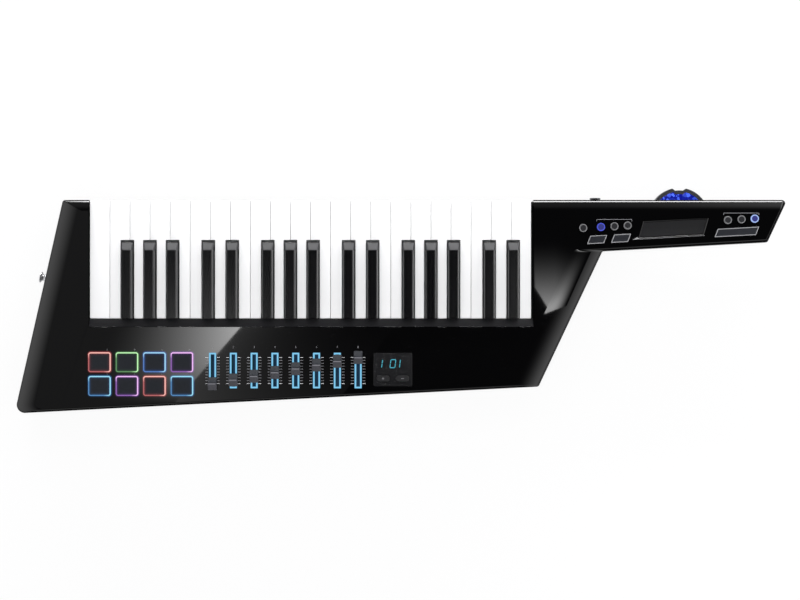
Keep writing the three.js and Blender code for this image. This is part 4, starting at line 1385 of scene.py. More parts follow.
@dataclass
class Keys(Assembly):
    """Builds the 22 white and 15 black keys.

    A black key's heights and its half widths are those of its cross-section, and its front, slope,
    rail and tail are places along it.
    """

    white_edge: float = 0.55
    white_widen: float = 0.3
    half: float = 7.0
    top_half: float = 5.3
    bottom: float = 38.0
    collar: float = 50.0
    slope_foot: float = 51.1
    top: float = 61.5
    tail_top: float = 46.0
    front: float = -48.4
    slope: float = 9.7
    slope_steps: int = 14
    dark_share: float = 0.2
    crest: float = 1.4
    middle: float = -80.0
    rail: float = -138.6
    tail: float = -175.0
    edge: float = 1.3
    white: Material = made(Moulded("white key", (0.88, 0.88, 0.89), 0.25, 0.01))
    # The black keys' paler front slope is a painted highlight.
    black: Material = made(
        TwoTone("black key", (0.002, 0.002, 0.0025), (0.045, 0.045, 0.048), (0.2, 0.6))
    )

    def stations(self) -> list[tuple[float, float, float]]:
        """Place, height and mark of each cross-section of a black key, from its front to its tail:
        the top climbs the front slope, eases into the flat, runs to the rail and drops there."""
        share = np.linspace(0, 1, self.slope_steps + 1)
        climb = np.sin(share * math.pi / 2) ** 0.92
        slope_y = self.front - 0.5 - share * self.slope
        slope_top = self.slope_foot + (self.top - self.slope_foot) * (0.5 * climb + 0.5 * share)
        # Marks the slope, past its first share, for the painted highlight.
        marks = share > self.dark_share
        stations = [(self.front, 50.7, 0.0), (self.front - 0.15, 51.0, 0.0)]
        stations += list(zip(slope_y, slope_top, marks.astype(float)))
        crest = self.front - self.slope - self.crest
        stations += [(y, self.top, 0.0) for y in (crest, self.middle, self.rail)]
        return stations + [(y, self.tail_top, 0.0) for y in (self.rail - 0.05, self.tail)]

    def black_form(self) -> Form:
        """A black key about X = 0 as cross-sections carried along Y. Each is a six-cornered
        outline, upright up to the white keys' tops and leaning in above them. Glow is 1 on the
        front slope, where the finish paints a paler highlight."""
        half, collar, rings, marks = self.half, self.collar, [], []
        for y, z, mark in self.stations():
            upper, shoulder = max(z - collar, 0.3), min(collar, z - 0.4)
            lean = half - (half - self.top_half) * upper / (self.top - collar)
            edge = min(self.edge, upper * 0.4)
            side = [(self.bottom, half, 0.3), (shoulder, half, 0.2), (z, lean, edge)]
            points = rounded(np.array(side + [(u, -v, r) for u, v, r in side[::-1]]), 5)
            rings.append(level(points, y, Axis.Y))
            marks.append(mark * (points[:, 0] > collar))
        return through(rings).marked(np.concatenate(marks))

    def build(self) -> None:
        """Builds all the keys: a white one is the CAD key with softly rounded edges."""
        black = self.black_form()
        for node in sorted(frame["nodes"]):
            name = node.replace("_key_", "_key_cap_")
            if node.startswith("white_key_"):
                piece = self.bench.copy_of(node, name, self.white_edge, widen=self.white_widen)
                self.bench.fit(piece, self.white, "white_key", f"{node}_body", [node])
            if node.startswith("black_key_"):
                x = float(sum(self.bench.box(node))[0]) / 2
                self.add(name, black.moved(x), self.black, "black_key", f"{node}_body", [node])


class PadColour(Enum):
    """The colours that the pads are lit in, each as its deep and its bright tone on screen."""

    RED = ((176, 76, 82), (255, 184, 174))
    GREEN = ((66, 122, 68), (190, 250, 180))
    BLUE = ((58, 104, 190), (160, 216, 252))
    PURPLE = ((124, 70, 168), (246, 190, 254))
    AZURE = ((54, 116, 180), (156, 224, 250))


@dataclass
class Pads(Assembly):
    """Builds the pad mat: its sheet, eight pads with lit rims, and the light on the panel.

    Insets, heights and glows are those of a pad's rings, from its foot to its middle. Spill reach
    and spill glows are those of the light's rings on the panel, from the outside in.
    """

    top: float = 56.2
    gap: float = 0.3
    left_gap: float = 1.5
    radius: float = 2.7
    sheet_z: Span = (49.7, 51.7)
    insets: tuple[float, ...] = (0, 0, 0.1, 0.5, 1.3, 2.2, 3.6, 6.0, 9.0)
    drops: tuple[float, ...] = (5.5, 0.5, 0.15, 0, 0, 0, 0, 0, 0)
    glows: tuple[float, ...] = (0, 0, 0, 1, 1, 0.6, 0.22, 0.08, 0.04)
    rim_sides: tuple[float, ...] = (1.0, 1.3, 1.3, 1.0)
    spill_reach: tuple[float, ...] = (-1.9, -1.5, -1.1, -0.7, -0.35)
    spill_glows: tuple[float, ...] = (0, 0, 0.4, 0.65, 0.85, 1, 1)
    colours: tuple[PadColour, ...] = (
        PadColour.RED,
        PadColour.GREEN,
        PadColour.BLUE,
        PadColour.PURPLE,
        PadColour.AZURE,
        PadColour.PURPLE,
        PadColour.RED,
        PadColour.AZURE,
    )

    def __post_init__(self) -> None:
        """Makes three finishes for each colour: the rim's, the pad's and the spilt light's."""
        self.tones = {}
        for colour in PadColour:
            deep, bright = shade(*colour.value[0]), shade(*colour.value[1])
            tint, spill = tuple(v * 0.3 for v in deep), tuple(v * 0.6 for v in deep)
            name, grey, gloss = colour.name.lower(), (0.013, 0.0145, 0.018), GlossPanel.colour
            self.tones[colour] = (
                Lit(f"{name} rim", deep, bright).material(),
                Lit(f"{name} pad", UNLIT, tint, grey, 0.6, True, 0.12).material(),
                Lit(f"{name} spill", UNLIT, spill, gloss, 0.02, True, 0.5).material(),
            )

    def lit_side(self, x: float, y: float, points: Array) -> Array:
        """How brightly a rim about x, y glows: most along its top and its right side."""
        aside = (points[:, 0] - x) / (self.controls.pad_width / 2)
        above = (points[:, 1] - y) / (self.controls.pad_depth / 2)
        lit = np.maximum(smooth_step(aside, 0.55, 0.85), smooth_step(above, 0.5, 0.82))
        return np.maximum(lit, 0.12)

    def pad(self, number: int, x: float, y: float, colour: PadColour) -> None:
        """One pad, its lit rim and the light round it.

        Args:
            number: its place, from 1.
            x: its middle.
            y: its middle.
            colour: what it is lit in.
        """
        controls, top = self.controls, self.top
        width = controls.pad_width - 2 * self.gap - self.left_gap
        depth = controls.pad_depth - 2 * self.gap
        corners = rectangle(width, depth, self.radius, x + self.left_gap / 2, y)
        rim_tone, pad_tone, spill_tone = self.tones[colour]
        steps = zip(self.insets, self.drops)
        rings = [level(rounded(moved_in(corners, i), 5), top - drop) for i, drop in steps]
        pad = through(rings).marked(self.glows)
        self.add(f"pad_{number}", pad, pad_tone, "pad_rubber")
        inner = np.array(self.rim_sides)
        rim = border(corners, [-0.08, 0.3, inner - 0.35, inner], top - 0.7, top + 0.12, 3)
        rim = rim.marked(self.lit_side(x, y, rim.points))
        self.add(f"pad_{number}_rim", rim, rim_tone, "pad_rubber")
        spill = border(corners, self.spill_reach, PANEL_TOP - 0.2, PANEL_TOP + 0.03, 3)
        spill = spill.marked(self.spill_glows)
        spill.marks *= 0.55 + 0.45 * self.lit_side(x, y, spill.points)
        self.add(f"pad_{number}_spill", spill, spill_tone, "gloss_housing")

    def build(self) -> None:
        """Builds the mat's sheet and all the pads."""
        low, high = self.bench.box("pad_mat")
        sheet = brick((low[0], high[0]), (low[1], high[1]), self.sheet_z)
        self.add("pad_sheet", sheet, self.finishes.rubber, "pad_rubber", HOUSING, ["pad_mat"])
        for number, (place, colour) in enumerate(zip(self.controls.pads(), self.colours), 1):
            self.pad(number, *place, colour)


@dataclass
class Faders(Assembly):
    """Builds the eight faders, the lit frames of their slots and their scales."""

    half: float = 7.6
    low: float = 56.0
    foot: float = 58.6
    top: float = 64.28
    ridge: float = 1.7
    slope_run: float = 1.6
    slope_drop: float = 2.0
    width: float = 10.3
    edge: float = 0.7
    stem: tuple[float, float, float] = (1.3, 2.5, 44.0)
    line_half: float = 4.4
    line_y: Span = (-0.6, 0.5)
    line_z: Span = (64.2, 64.4)
    frame_size: Span = (8.5, 41.8)
    frame_line: float = 0.45
    frame_z: Span = (54.6, 55.06)
    frame_glows: tuple[float, ...] = (0.1, 0.1, 1, 1, 0.2, 0.1)
    slot_floor: tuple[float, float] = (1.6, 21.0)
    slot_floor_z: Span = (41.65, 41.85)
    slot_bottom: float = 51.0
    scale_first: float = 15.25
    scale_pitch: float = 3.39
    scale_count: int = 10
    scale_reach: Span = (5.0, 8.4)
    scale_thick: float = 0.62
    frame_light: Material = made(Lit("slot light", shade(40, 96, 132), shade(124, 200, 238)))
    deep_light: Material = made(Lit("slot depth", shade(0, 36, 62), shade(0, 50, 84)))
    line: Material = made(Moulded("fader line", shade(112, 112, 118), 0.5, 0.04, specular=0.2))
    # The caps' paler near slope is a painted highlight.
    cap: Material = made(
        TwoTone(
            "fader cap", (0.022, 0.024, 0.029), (0.066, 0.066, 0.075), (0.45, 0.5), 0.00001, 0.1
        )
    )

    def cap_form(self, x: float, y: float) -> Form:
        """A cap and its stem about x, y. The cap's side view is carried along X: a foot, two
        hollow slopes and a narrow ridge, with rounded ends. Glow is 1 on its near slope: a painted
        highlight."""
        slope, rise = self.ridge + self.slope_run, self.top - self.slope_drop
        far = [(self.half, self.low, 0.3), (self.half, self.foot, 0.8), (slope, rise, 2.0)]
        far.append((self.ridge, self.top, 0.5))
        near = [(-u, v, r) for u, v, r in far]
        side = np.array([near[0], *far, *near[:0:-1]]) + np.array([y, 0, 0])
        half, edge = self.width / 2, self.edge
        cap = pillow(side, x - half, x + half, edge, edge, 4, Axis.X)
        # Glow 1 on the near slope gives it the painted highlight.
        cap = cap.marked(cap.points[:, 1] < y - self.ridge / 2)
        stem_x, stem_y, stem_low = self.stem
        stem_z = (stem_low, self.low + 0.4)
        return cap + brick((x - stem_x, x + stem_x), (y - stem_y, y + stem_y), stem_z)

    def fader(self, number: int, x: float, middle: float, y: float) -> None:
        """One fader with its line, its lit frame and the light in its slot.

        Args:
            number: its place, from 1.
            x: middle of its slot.
            middle: middle of its slot.
            y: its cap's place.
        """
        body, replaced = f"fader_{number}_body", [f"fader_{number}"]
        cap = self.cap_form(x, y)
        self.add(f"fader_cap_{number}", cap, self.cap, "fader_cap", body, replaced)
        line_x, line_y = (x - self.line_half, x + self.line_half), self.line_y
        line = brick(line_x, (y + line_y[0], y + line_y[1]), self.line_z)
        self.add(f"fader_line_{number}", line, self.line, "fader_cap", body)
        width, length = self.controls.slot_width, self.controls.slot_length
        outer = rectangle(*self.frame_size, 0.6, x, middle)
        slot, thin = (self.frame_size[0] - width) / 2, self.frame_line
        frame_form = border(outer, [0, thin, slot - thin, slot + 0.02], *self.frame_z, 2)
        lit_frame = frame_form.marked(self.frame_glows)
        self.add(f"fader_frame_{number}", lit_frame, self.frame_light, "gloss_housing")
        opening = rectangle(width, length, 1.05, x, middle)
        liner = border(opening, [0.02, 0.3], self.slot_bottom, self.frame_z[0])
        floor_x, floor_y = self.slot_floor
        span, reach = (x - floor_x, x + floor_x), (middle - floor_y, middle + floor_y)
        depth = liner + brick(span, reach, self.slot_floor_z)
        depth = depth.marked(np.clip((depth.points[:, 2] - 41) / 20, 0.05, 1))
        self.add(f"fader_depth_{number}", depth, self.deep_light, "board")

    def scales(self) -> None:
        """Ten short lines on each side of every slot. The first and the last are brighter."""
        ends, others = [], []
        near, far = self.scale_reach
        half = self.scale_thick / 2
        for x, middle, _ in self.controls.faders():
            for i in range(self.scale_count):
                y = middle + self.scale_first - i * self.scale_pitch
                for span in ((x - far, x - near), (x + near, x + far)):
                    mark = brick(span, (y - half, y + half), PRINT)
                    (ends if i in (0, self.scale_count - 1) else others).append(mark)
        self.add("scale_ends", all_of(ends), self.finishes.paint, "gloss_housing")
        self.add("scale_marks", all_of(others), self.finishes.dim_paint, "gloss_housing")

    def build(self) -> None:
        """Builds all the faders."""
        for number, places in enumerate(self.controls.faders(), 1):
            self.fader(number, *places)
        self.scales()


SEGMENTS = {"0": "abcdef", "1": "bc"}


@dataclass
class Display(Assembly):
    """Builds the window, its digits and the two pill buttons."""

    digit_half: Span = (2.9, 4.7)
    digit_thick: float = 0.46
    digit_lean: float = 0.13
    digit_gap: float = 0.35
    digit_z: Span = (54.95, 55.04)
    digits: tuple[tuple[str, float], ...] = (("1", -15.4), ("0", 0.1), ("1", 5.4))
    digit_line: float = 6.9
    gap: float = 0.3
    lens_thick: float = 1.7
    lens_edge: float = 0.25
    pill_width_share: float = 0.35
    pill_depth: float = 7.5
    pill_radius: float = 3.1
    pill_z: Span = (50.8, 55.8)
    sheet_z: Span = (49.9, 51.7)
    sign_arm: float = 1.25
    sign_thick: float = 0.34
    sign_z: Span = (55.7, 55.83)
    smoked: Material = made(Moulded("smoked window", (0.010, 0.010, 0.011), 0.14, 0.1))
    light: Material = made(even_light("digit light", 62, 176, 196))
    grey: Material = made(
        Moulded("pill silicone", (0.015, 0.015, 0.016), 0.5, 0.1, specular=0.2)
    )

    def digit(self, text: str, x: float, y: float) -> Form:
        """One seven-segment digit about x, y that leans to the right: a bar's corner at height h
        above the digit's middle moves right by digit_lean * h."""
        (wide, tall), gap, thick = self.digit_half, self.digit_gap, self.digit_thick
        across, upper, lower = (-wide + gap, wide - gap), (gap, tall - gap), (-tall + gap, -gap)
        spots = {
            "a": (across, (tall, tall)),
            "d": (across, (-tall, -tall)),
            "b": ((wide, wide), upper),
            "c": ((wide, wide), lower),
            "f": ((-wide, -wide), upper),
            "e": ((-wide, -wide), lower),
        }
        bars = []
        for letter in SEGMENTS[text]:
            (x0, x1), (y0, y1) = spots[letter]
            x_thick, y_thick = (thick, 0) if y0 != y1 else (0, thick)
            bar = brick((x0 - x_thick, x1 + x_thick), (y0 - y_thick, y1 + y_thick), self.digit_z)
            bar.points[:, 0] += self.digit_lean * bar.points[:, 1]
            bars.append(bar.moved(x, y))
        return all_of(bars)

    def window(self) -> None:
        """The smoked window with its lit digits."""
        x, y, width, depth = self.controls.display()
        corners = rectangle(width - 2 * self.gap, depth - 2 * self.gap, 2, x, y)
        window = pillow(corners, PANEL_TOP - self.lens_thick, PANEL_TOP, self.lens_edge)
        lens = self.bench.make("display_window", window)
        size = (width * self.pill_width_share, self.pill_depth, self.pill_depth / 2 - self.gap)
        holes = [slab(rectangle(*size, *place), 50, 60, 8) for place in self.controls.pills()]
        self.bench.carve(lens, all_of(holes))
        self.bench.fit(lens, self.smoked, "display_lens", replaces=["display_lens"])
        line = y + self.digit_line
        form = all_of([self.digit(text, x + aside, line) for text, aside in self.digits])
        self.add("display_digits", form, self.light, "display_lens")

    def buttons(self) -> None:
        """The pill buttons' mat with their plus and minus signs."""
        x, _, width, _ = self.controls.display()
        places = self.controls.pills()
        (plus_x, y), (minus_x, _) = places
        span = (y - self.pill_depth / 2, y + self.pill_depth / 2)
        sheet = brick((x - width / 2, x + width / 2), span, self.sheet_z)
        pill = (width * self.pill_width_share - 0.6, self.pill_depth - 0.6, self.pill_radius)
        pills = [pillow(rectangle(*pill, *p), *self.pill_z, 0.5, steps=6) for p in places]
        mat = all_of([sheet, *pills])
        self.add("value_buttons", mat, self.grey, "button_rubber", HOUSING, ["value_keypad"])
        arm, thick = self.sign_arm, self.sign_thick
        bars = ((plus_x, arm, thick), (plus_x, thick, arm), (minus_x, arm * 1.3, thick))
        signs = [brick((x - w, x + w), (y - h, y + h), self.sign_z) for x, w, h in bars]
        self.add("value_signs", all_of(signs), self.finishes.dim_paint, "button_rubber")

    def build(self) -> None:
        """Builds the display."""
        self.window()
        self.buttons()


@dataclass
class NeckButtons(Assembly):
    """Builds the neck's round and leaning buttons and the brackets printed over them."""

    radius: float = 4.76
    inner: float = 3.4
    low: float = 54.2
    top: float = 56.0
    dome_top: float = 55.9
    dome_rise: float = 0.12
    dome_steps: int = 5
    ring_sides: int = 40
    blade_top: float = 55.9
    blade_gap: float = 0.4
    flange_z: Span = (49.2, 50.8)
    brackets: tuple[tuple[int, int, float], ...] = ((1, 3, 8.0), (4, 6, 7.4))
    bracket_over: float = 4.9
    bracket_thick: float = 0.3
    bracket_drop: float = 2.2
    ring: Material = made(Moulded("button ring", shade(108, 108, 110), 0.4, 0.06))
    centre: Material = made(
        Moulded("button centre", (0.012, 0.012, 0.014), 0.7, 0.3, 0.0003, 0.0009, specular=0.2)
    )
    edge: Material = made(Moulded("blade edge", shade(140, 140, 143), 0.45, 0.06))
    face: Material = made(
        Moulded("blade face", (0.012, 0.013, 0.0165), 0.6, 0.2, 0.00035, 0.0011, specular=0.2)
    )
    blue: Material = made(even_light("blue ring light", 58, 72, 214))
    deep_blue: Material = made(even_light("blue centre light", 24, 30, 120))
    bright: Material = made(even_light("pale ring light", 168, 196, 255))

    def round_button(self, number: int, x: float, y: float) -> None:
        """One round button, counted from 1: a ring over the silicone's rim and a domed centre."""
        radius, inner, low, top = self.radius, self.inner, self.low, self.top
        profile = [(inner, low), (radius, low), (radius, top - 0.4), (radius - 0.15, top - 0.12)]
        profile += [(radius - 0.45, top), (inner + 0.3, top), (inner, top - 0.2)]
        angle = np.linspace(0, 2 * math.pi, self.ring_sides, endpoint=False)
        circle = np.stack([np.cos(angle), np.sin(angle)], axis=1)
        rings = [level(circle * r + np.array([x, y]), z) for r, z in profile]
        lit = {2: self.blue, 7: self.bright}
        tone = lit.get(number, self.ring)
        self.add(f"round_ring_{number}", through(rings, closed=True), tone, "button_rubber")
        reach, dome = inner - 0.05, [(inner - 0.05, low)]
        for inwards, short in quarter(self.dome_steps)[:-1]:
            dome.append((reach * (1 - inwards), self.dome_top + self.dome_rise * (1 - short)))
        tone = self.deep_blue if number in lit else self.centre
        self.add(f"round_centre_{number}", turned(dome, (x, y, 0)), tone, "button_rubber")

    def blade(self, node: str, outline: Array) -> None:
        """One leaning button: a face within a pale edge.

        Args:
            node: the CAD node it stands for.
            outline: the opening that it comes up through.
        """
        top, corners = self.blade_top, moved_in(outline, self.blade_gap)
        flange = slab(moved_in(outline, -1.0), *self.flange_z)
        form = flange + pillow(corners, self.flange_z[1] - 0.2, top, 0.35)
        name, body = node.replace("_button", "_key"), f"{node}_body"
        self.add(name, form, self.face, "blade_button", body, [node])
        rim = border(corners, [-0.04, 0.25, 0.85], top - 0.5, top + 0.05)
        self.add(f"{name}_edge", rim, self.edge, "blade_button", body)

    def bracket(self, first: int, last: int, above: float) -> Form:
        """A thin line over a group of round buttons with its ends turned down.

        Args:
            first: the first button's place in the row.
            last: the last button's place.
            above: distance of the line over the buttons' centres.
        Returns:
            The form.
        """
        places = self.controls.rounds()
        (x0, y0), (x1, y1) = places[first], places[last]
        y, thick = (y0 + y1) / 2 + above, self.bracket_thick
        ends = (x0 - self.bracket_over, x1 + self.bracket_over)
        drop = (y - self.bracket_drop, y - thick)
        turns = [brick((x - thick, x + thick), drop, PRINT) for x in ends]
        return all_of([brick(ends, (y - thick, y + thick), PRINT), *turns])

    def build(self) -> None:
        """Builds all the neck's buttons."""
        self.bench.dress("neck_keypad", self.finishes.dark_rubber)
        for number, place in enumerate(self.controls.rounds(), 1):
            self.round_button(number, *place)
        for node, outline in self.controls.blades().items():
            self.blade(node, outline)
        marks = all_of([self.bracket(*group) for group in self.brackets])
        self.add("bracket_marks", marks, self.finishes.dim_paint, "gloss_housing")


@dataclass
class BendWheel(Assembly):
    """Builds the bend wheel: a dark rim with a notch round a lit blue side."""

    radius: float = 35.0
    low: float = 28.0
    high: float = 42.0
    flat: float = 12.0
    rim: float = 4.5
    edge: float = 0.8
    bevel: float = 0.25
    sink: float = 0.7
    notch_depth: float = 3.0
    notch: Span = (4.8, 8.5)
    line_points: int = 180
    shaft_radius: float = 3.0
    shaft_z: Span = (24.4, 45.8)
    shaft_sides: int = 24
    dark: Material = made(Moulded("wheel rim", (0.028, 0.028, 0.032), 0.3, 0.1))
    glass: Material = made(WheelGlass())

    def line(self, inset: float) -> Array:
        """The wheel's outline at an inset: a circle whose radius dips smoothly into a level notch,
        closed by a straight side on its hidden half."""
        radius = self.radius - inset
        start = math.asin((-self.flat + inset) / radius)
        angle = np.linspace(start, math.pi - start, self.line_points)
        aside = np.abs(self.radius * np.cos(angle))
        dip = self.notch_depth * (1 - smooth_step(aside, *self.notch))
        reach = np.minimum(radius, self.radius - dip - inset)
        return np.stack([reach * np.cos(angle), reach * np.sin(angle)], axis=1)

    def build(self) -> None:
        """Builds the wheel."""
        centre = np.array(self.controls.wheel())
        low, high, edge, bevel, rim = self.low, self.high, self.edge, self.bevel, self.rim
        steps = [(0, low + edge), (0, high - edge), (bevel, high - bevel), (edge, high)]
        steps += [(rim, high), (rim, low), (edge, low), (bevel, low + bevel)]
        form = through([level(self.line(i) + centre, z) for i, z in steps], closed=True)
        body = "pitch_wheel_body"
        self.add("wheel_rim", form, self.dark, "wheel", body, ["pitch_wheel"])
        inset, low, high = rim + 0.02, low + self.sink, high - self.sink
        steps = [(inset, low), (inset, high), (inset + 2, high - 0.6)]
        side = through([level(self.line(i) + centre, z) for i, z in steps])
        profile = [(self.shaft_radius, z) for z in self.shaft_z]
        shaft = turned(profile, (*centre, 0), sides=self.shaft_sides)
        self.add("wheel_side", side + shaft, self.glass, "wheel", body)


@dataclass
class StrapButtons(Assembly):
    """Builds the two strap buttons. Each ends a little below the CAD one's length."""

    length: float = 7.9
    cad_length: float = 8.2
    base: float = 5.8
    waist: float = 3.6
    flare: float = 0.9
    head: float = 6.5
    flange: float = 1.5
    head_thick: float = 2.2
    sides: int = 48
    chrome: Material = made(Moulded("chrome", (0.62, 0.62, 0.64), 0.3, 0.05, metallic=1.0))
    # The neck button's metal is darker than the side button's chrome.
    dark: Material = made(Moulded("darker metal", (0.10, 0.10, 0.105), 0.3, 0.08, metallic=1.0))

    def profile(self, dish: float) -> Array:
        """Radius and height of a strap button: a flange, a waist that flares both ways, and a
        round head whose middle is sunk below its rim by the dish."""
        base, head, length = self.base, self.head, self.length
        swing = np.linspace(0, math.pi, 9)
        flare = self.waist + self.flare * (1 + np.cos(swing * 2)) / 2
        rise = self.flange + (length - self.head_thick - self.flange) * swing / math.pi
        rows = [(base, 0.0), (base, 0.9), (base - 0.4, 1.3), *zip(flare, rise)]
        rows += [(head - 0.5, length - 2.1), (head, length - 1.5), (head, length - 0.6)]
        rows += [(head - 0.6, length), (head * 0.55, length - dish * 0.7)]
        return np.array([*rows, (head * 0.2, length - dish)])

    def build(self) -> None:
        """Builds both buttons on the axes that the record's mounts give."""
        mounts = {mount["name"]: mount for mount in frame["record"]["mounts"]}
        for place, finish, dish in (("side", self.chrome, 0.3), ("neck", self.dark, 2.0)):
            node, mount = f"strap_button_{place}", mounts[f"strap_{place}"]
            axis = np.array(mount["axis"], float)
            base = self.bench.to_part(mount["pos_m"]) - axis * self.cad_length
            form = turned(self.profile(dish), base, axis, self.sides)
            self.add(f"{node}_metal", form, finish, "strap_metal", HOUSING, [node])


@dataclass
class Prints(Assembly):
    """Builds the small plain numbers over the pads and the faders."""

    size: float = 3.5
    thick: float = 0.03
    beside_pad: float = 9.4
    above_pad: float = 14.0
    above_slot: float = 27.3

    def number_form(self, text: str, x: float, y: float) -> Form:
        """A number about x, y, set as text and turned into one thin mesh."""
        curve = bpy.data.curves.new("number", "FONT")
        curve.body = text
        curve.size, curve.extrude = self.size * MM, self.thick * MM
        curve.align_x = curve.align_y = "CENTER"
        piece = placed("number", curve)
        state = bpy.context.evaluated_depsgraph_get()
        mesh = bpy.data.meshes.new_from_object(piece.evaluated_get(state))
        points = values_of(mesh.vertices, "co", 3) / MM + np.array([x, y, PANEL_TOP])
        form = Form(points, [list(polygon.vertices) for polygon in mesh.polygons])
        bpy.data.objects.remove(piece)
        bpy.data.curves.remove(curve)
        bpy.data.meshes.remove(mesh)
        return form

    def numbers(self, name: str, places: Sequence[Span]) -> None:
        """Counts up from 1 at the given places, as one piece of the given name."""
        forms = [self.number_form(str(i), x, y) for i, (x, y) in enumerate(places, 1)]
        self.add(name, all_of(forms), self.finishes.dim_paint, "gloss_housing")

    def build(self) -> None:
        """Builds the numbers."""
        pads, faders = self.controls.pads(), self.controls.faders()
        over_pads = [(x + self.beside_pad, y + self.above_pad) for x, y in pads]
        self.numbers("pad_numbers", over_pads)
        over_slots = [(x, middle + self.above_slot) for x, middle, _ in faders]
        self.numbers("fader_numbers", over_slots)


@dataclass(frozen=True)
class Lamp:
    """A soft rectangular lamp aimed at the object.

    Args:
        name: its name.
        place: where it stands.
        size: its width and height.
        power: its power in watts.
        mirrored: whether glossy surfaces mirror it.
    """

    name: str
    place: tuple[float, float, float]
    size: Span
    power: float
    mirrored: bool = False

    def build(self) -> None:
        """Puts the lamp in the scene."""
        data = bpy.data.lights.new(self.name, "AREA")
        data.shape = "RECTANGLE"
        data.size, data.size_y = self.size
        data.energy = self.power
        lamp = placed(self.name, data)
        x, y, z = lamp.location = self.place
        tilt = math.atan2(math.hypot(x, y), z)
        lamp.rotation_euler = (tilt, 0, math.atan2(y, x) + math.pi / 2)
        lamp.visible_glossy = self.mirrored


@dataclass
class Studio:
    """Sets up the camera, the lamps, the floor and what the gloss panel mirrors.

    Cards are placed by where the photograph shows their reflections, in its pixels.
    """

    camera_place: tuple[float, float, float] = (-0.0012, 0.0006, 2.392)
    lens: float = 90.0
    sensor: float = 36.0
    lamps: tuple[Lamp, ...] = (
        Lamp("top lamp", (0.0, 0.001, 3.2), (0.7, 0.5), 52),
        Lamp("far lamp", (0.1, 1.45, 1.75), (2.4, 0.6), 5),
        Lamp("near lamp", (-0.1, -1.45, 1.75), (2.4, 0.6), 8),
        Lamp("right lamp", (1.9, 0.1, 0.75), (1.6, 0.3), 9),
        Lamp("edge lamp", (0.0, 1.7, 0.396), (2.8, 0.1), 38, True),
    )
    pixel: float = 0.001171
    picture_middle: Span = (400.0, 300.0)
    card_height: float = 1.8
    card_grid: tuple[int, int] = (24, 16)
    haze: float = 0.19
    floor_half: float = 8.0
    floor_drop: float = 0.0006
    floor_share: float = 0.86
    left_light: float = 1.55
    right_light: float = 2.5
    rest: float = 0.2
    even: float = 0.35

    def camera(self) -> None:
        """A long lens straight above the panel, as in the photograph."""
        data = bpy.data.cameras.new("camera")
        data.lens, data.sensor_width = self.lens, self.sensor
        camera = placed("camera", data)
        camera.location = self.camera_place
        bpy.context.scene.camera = camera

    def mirrored(self, pixels: Array) -> Array:
        """Where a card must lie to be mirrored at k x 2 places of the photograph."""
        panel = PANEL_TOP * MM
        growth = 1 + self.card_height / (self.camera_place[2] - panel)
        scale = np.array([self.pixel, -self.pixel])
        flat = (pixels - np.array(self.picture_middle)) * scale * growth
        return np.column_stack([flat, np.full(len(flat), panel + self.card_height)])

    def card(self, name: str, left: Array, right: Array, light: Callable[..., Array]) -> None:
        """A glowing card that the panel mirrors, as a grid between two lines.

        Args:
            name: its name.
            left: upper and lower end of its left line.
            right: upper and lower end of its right line.
            light: radiance by the share across and the share down.
        """
        columns, rows = self.card_grid
        across, down = np.meshgrid(np.linspace(0, 1, columns), np.linspace(0, 1, rows))
        across, down = across.ravel()[:, None], down.ravel()[:, None]
        start, end = (side[0] * (1 - down) + side[1] * down for side in (left, right))
        points = self.mirrored(start * (1 - across) + end * across)
        index = np.arange(rows * columns).reshape(rows, columns)
        corners = [index[:-1, :-1], index[:-1, 1:], index[1:, 1:], index[1:, :-1]]
        mesh = bpy.data.meshes.new(name)
        quads = np.stack(corners, axis=-1).reshape(-1, 4)
        mesh.from_pydata(points.tolist(), [], quads.tolist())
        set_glow(mesh, light(across[:, 0], down[:, 0]))
        material = bpy.data.materials.new(name)
        tree = Tree(material, "OutputMaterial")
        glow = tree.add("Attribute", attribute_name="glow").outputs["Fac"]
        tree.surface(tree.add("Emission", {"Strength": glow}).outputs["Emission"])
        mesh.materials.append(material)
        card = placed(name, mesh)
        card.visible_camera = False
        card.visible_shadow = False
        card.visible_diffuse = False

    def window_cards(self) -> None:
        """The slanting reflection beside the faders, its fainter far side and the left haze."""
        top, bottom, haze = 318.0, 410.0, self.haze
        near = np.array([[90.0, top], [60.0, bottom]])
        edge = np.array([[248.0, top], [168.0, bottom]])
        far = np.array([[400.0, top], [330.0, bottom]])

        def window_light(across: Array, down: Array) -> Array:
            """Haze, and light that grows by a power of the way right and dies out downwards."""
            growth = (np.maximum(across - 0.13, 0) / 0.87) ** 2.2
            return haze + 10.6 * growth * np.maximum(1 - 1.1 * down, 0)

        def fringe_light(across: Array, down: Array) -> Array:
            """Light that dies out by the way right, more slowly further down."""
            return 0.6 * np.exp(-across * (4.5 - 3 * down)) * (1 + 0.5 * down)

        self.card("window_mirror", near, edge, window_light)
        self.card("window_fringe", edge, far, fringe_light)
        haze_left = np.array([[-60.0, 150.0], [-60.0, 450.0]])
        haze_right = np.array([[144.0, 150.0], [47.0, 450.0]])
        self.card("left_haze", haze_left, haze_right, lambda across, _: across * 0 + haze)

    def side_cards(self) -> None:
        """The reflection right of the keys, which starts at a slanting foot."""
        start, foot, end, corner_x = 235.0, 287.0, 319.0, 554.0
        left = np.array([[532.0, start], [534.0, foot]])
        corner = np.array([[corner_x, start], [corner_x, end]])
        right = np.array([[955.0, 405.0], [955.0, 499.0]])
        foot_share = (foot - start) / (end - start)

        def growth(share: Array) -> Array:
            """The light by the share of the way down: a power of it, level at the end."""
            return 10.0 * np.minimum(share, 0.9) ** 2.9

        def near_light(across: Array, down: Array) -> Array:
            """The light where the card's lower side slants."""
            return growth(down * (foot_share * (1 - across) + across))

        def far_light(across: Array, down: Array) -> Array:
            """The light as it dies out to the right."""
            return growth(down) * (1 - smooth_step(across, 0.25, 0.95))

        self.card("side_mirror", left, corner, near_light)
        self.card("side_mirror_far", corner, right, far_light)

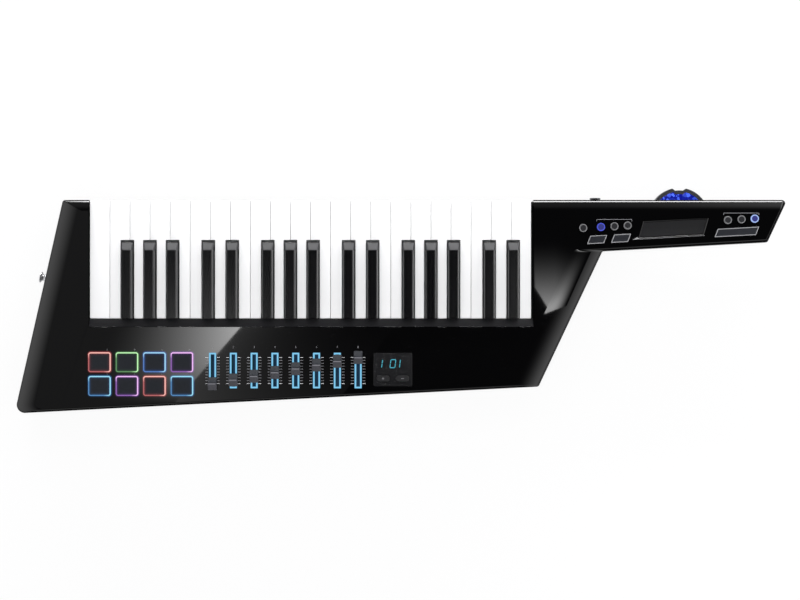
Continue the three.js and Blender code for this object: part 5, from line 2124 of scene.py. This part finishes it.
    def floor(self) -> None:
        """A pale floor that shows white to the camera and in reflections, and keeps a shadow."""
        mesh = bpy.data.meshes.new("floor")
        half = self.floor_half
        corners = [(-half, -half), (half, -half), (half, half), (-half, half)]
        mesh.from_pydata([(x, y, -self.floor_drop) for x, y in corners], [], [(0, 1, 2, 3)])
        material = bpy.data.materials.new("pale floor")
        tree = Tree(material, "OutputMaterial")
        rays = tree.add("LightPath").outputs
        seen = tree.math("MAXIMUM", rays["Is Camera Ray"], rays["Is Glossy Ray"])
        seen = tree.math("MAXIMUM", seen, rays["Is Transmission Ray"])
        share = tree.math("MULTIPLY", seen, self.floor_share)
        paper = tree.add("BsdfDiffuse", {"Color": (0.86, 0.86, 0.87, 1)}).outputs["BSDF"]
        light = tree.add("Emission", {"Strength": 1.0}).outputs["Emission"]
        tree.surface(tree.mixed(share, paper, light))
        mesh.materials.append(material)
        placed("floor", mesh)

    def world(self) -> None:
        """A surrounding light that is dark overhead and bright low on the left and the right. It
        shows white behind the floor's edge."""
        world = bpy.data.worlds.new("world")
        bpy.context.scene.world = world
        tree = Tree(world, "OutputWorld")
        direction = tree.add("TexCoord").outputs["Generated"]

        def ramp(axis: str, source: Span, target: Span) -> Socket:
            """Leads one part of the direction smoothly from one span to another."""
            return tree.mapped(tree.part(direction, axis), source, target, "SMOOTHSTEP")

        rise = ramp("Z", (1.0, 0.62), (0.0, 1.0))
        left = ramp("X", (-0.12, -1.0), (0.0, self.left_light))
        right = ramp("X", (0.08, 0.5), (self.rest, self.right_light))
        mirrored = tree.math("ADD", left, tree.math("MULTIPLY", rise, right))
        rays = tree.add("LightPath").outputs
        choice = {"A": self.even, "B": mirrored, "Factor": rays["Is Glossy Ray"]}
        strength = tree.add("Mix", choice).outputs["Result"]
        shaders = []
        for value in (strength, 1.0):
            inputs = {"Color": (1, 1, 1, 1), "Strength": value}
            shaders.append(tree.add("Background", inputs).outputs["Background"])
        tree.surface(tree.mixed(rays["Is Camera Ray"], *shaders))

    def build(self) -> None:
        """Builds the studio."""
        self.camera()
        for lamp in self.lamps:
            lamp.build()
        self.window_cards()
        self.side_cards()
        self.floor()
        self.world()
        bpy.context.scene.view_settings.view_transform = "Standard"


ASSEMBLIES = (
    FrontHousing,
    RearHousing,
    Keys,
    Pads,
    Faders,
    Display,
    NeckButtons,
    BendWheel,
    StrapButtons,
    Prints,
)


def main() -> None:
    """Builds the keytar's looks and its studio, in order."""
    bench = Bench()
    controls = Controls(bench, Housing())
    finishes = Finishes()
    Studio().build()
    for assembly in ASSEMBLIES:
        assembly(bench, controls, finishes).build()
    bench.dress("key_frame", finishes.frame_plastic)
    bench.dress("control_board", finishes.board)


if __name__ == "__main__":
    main()
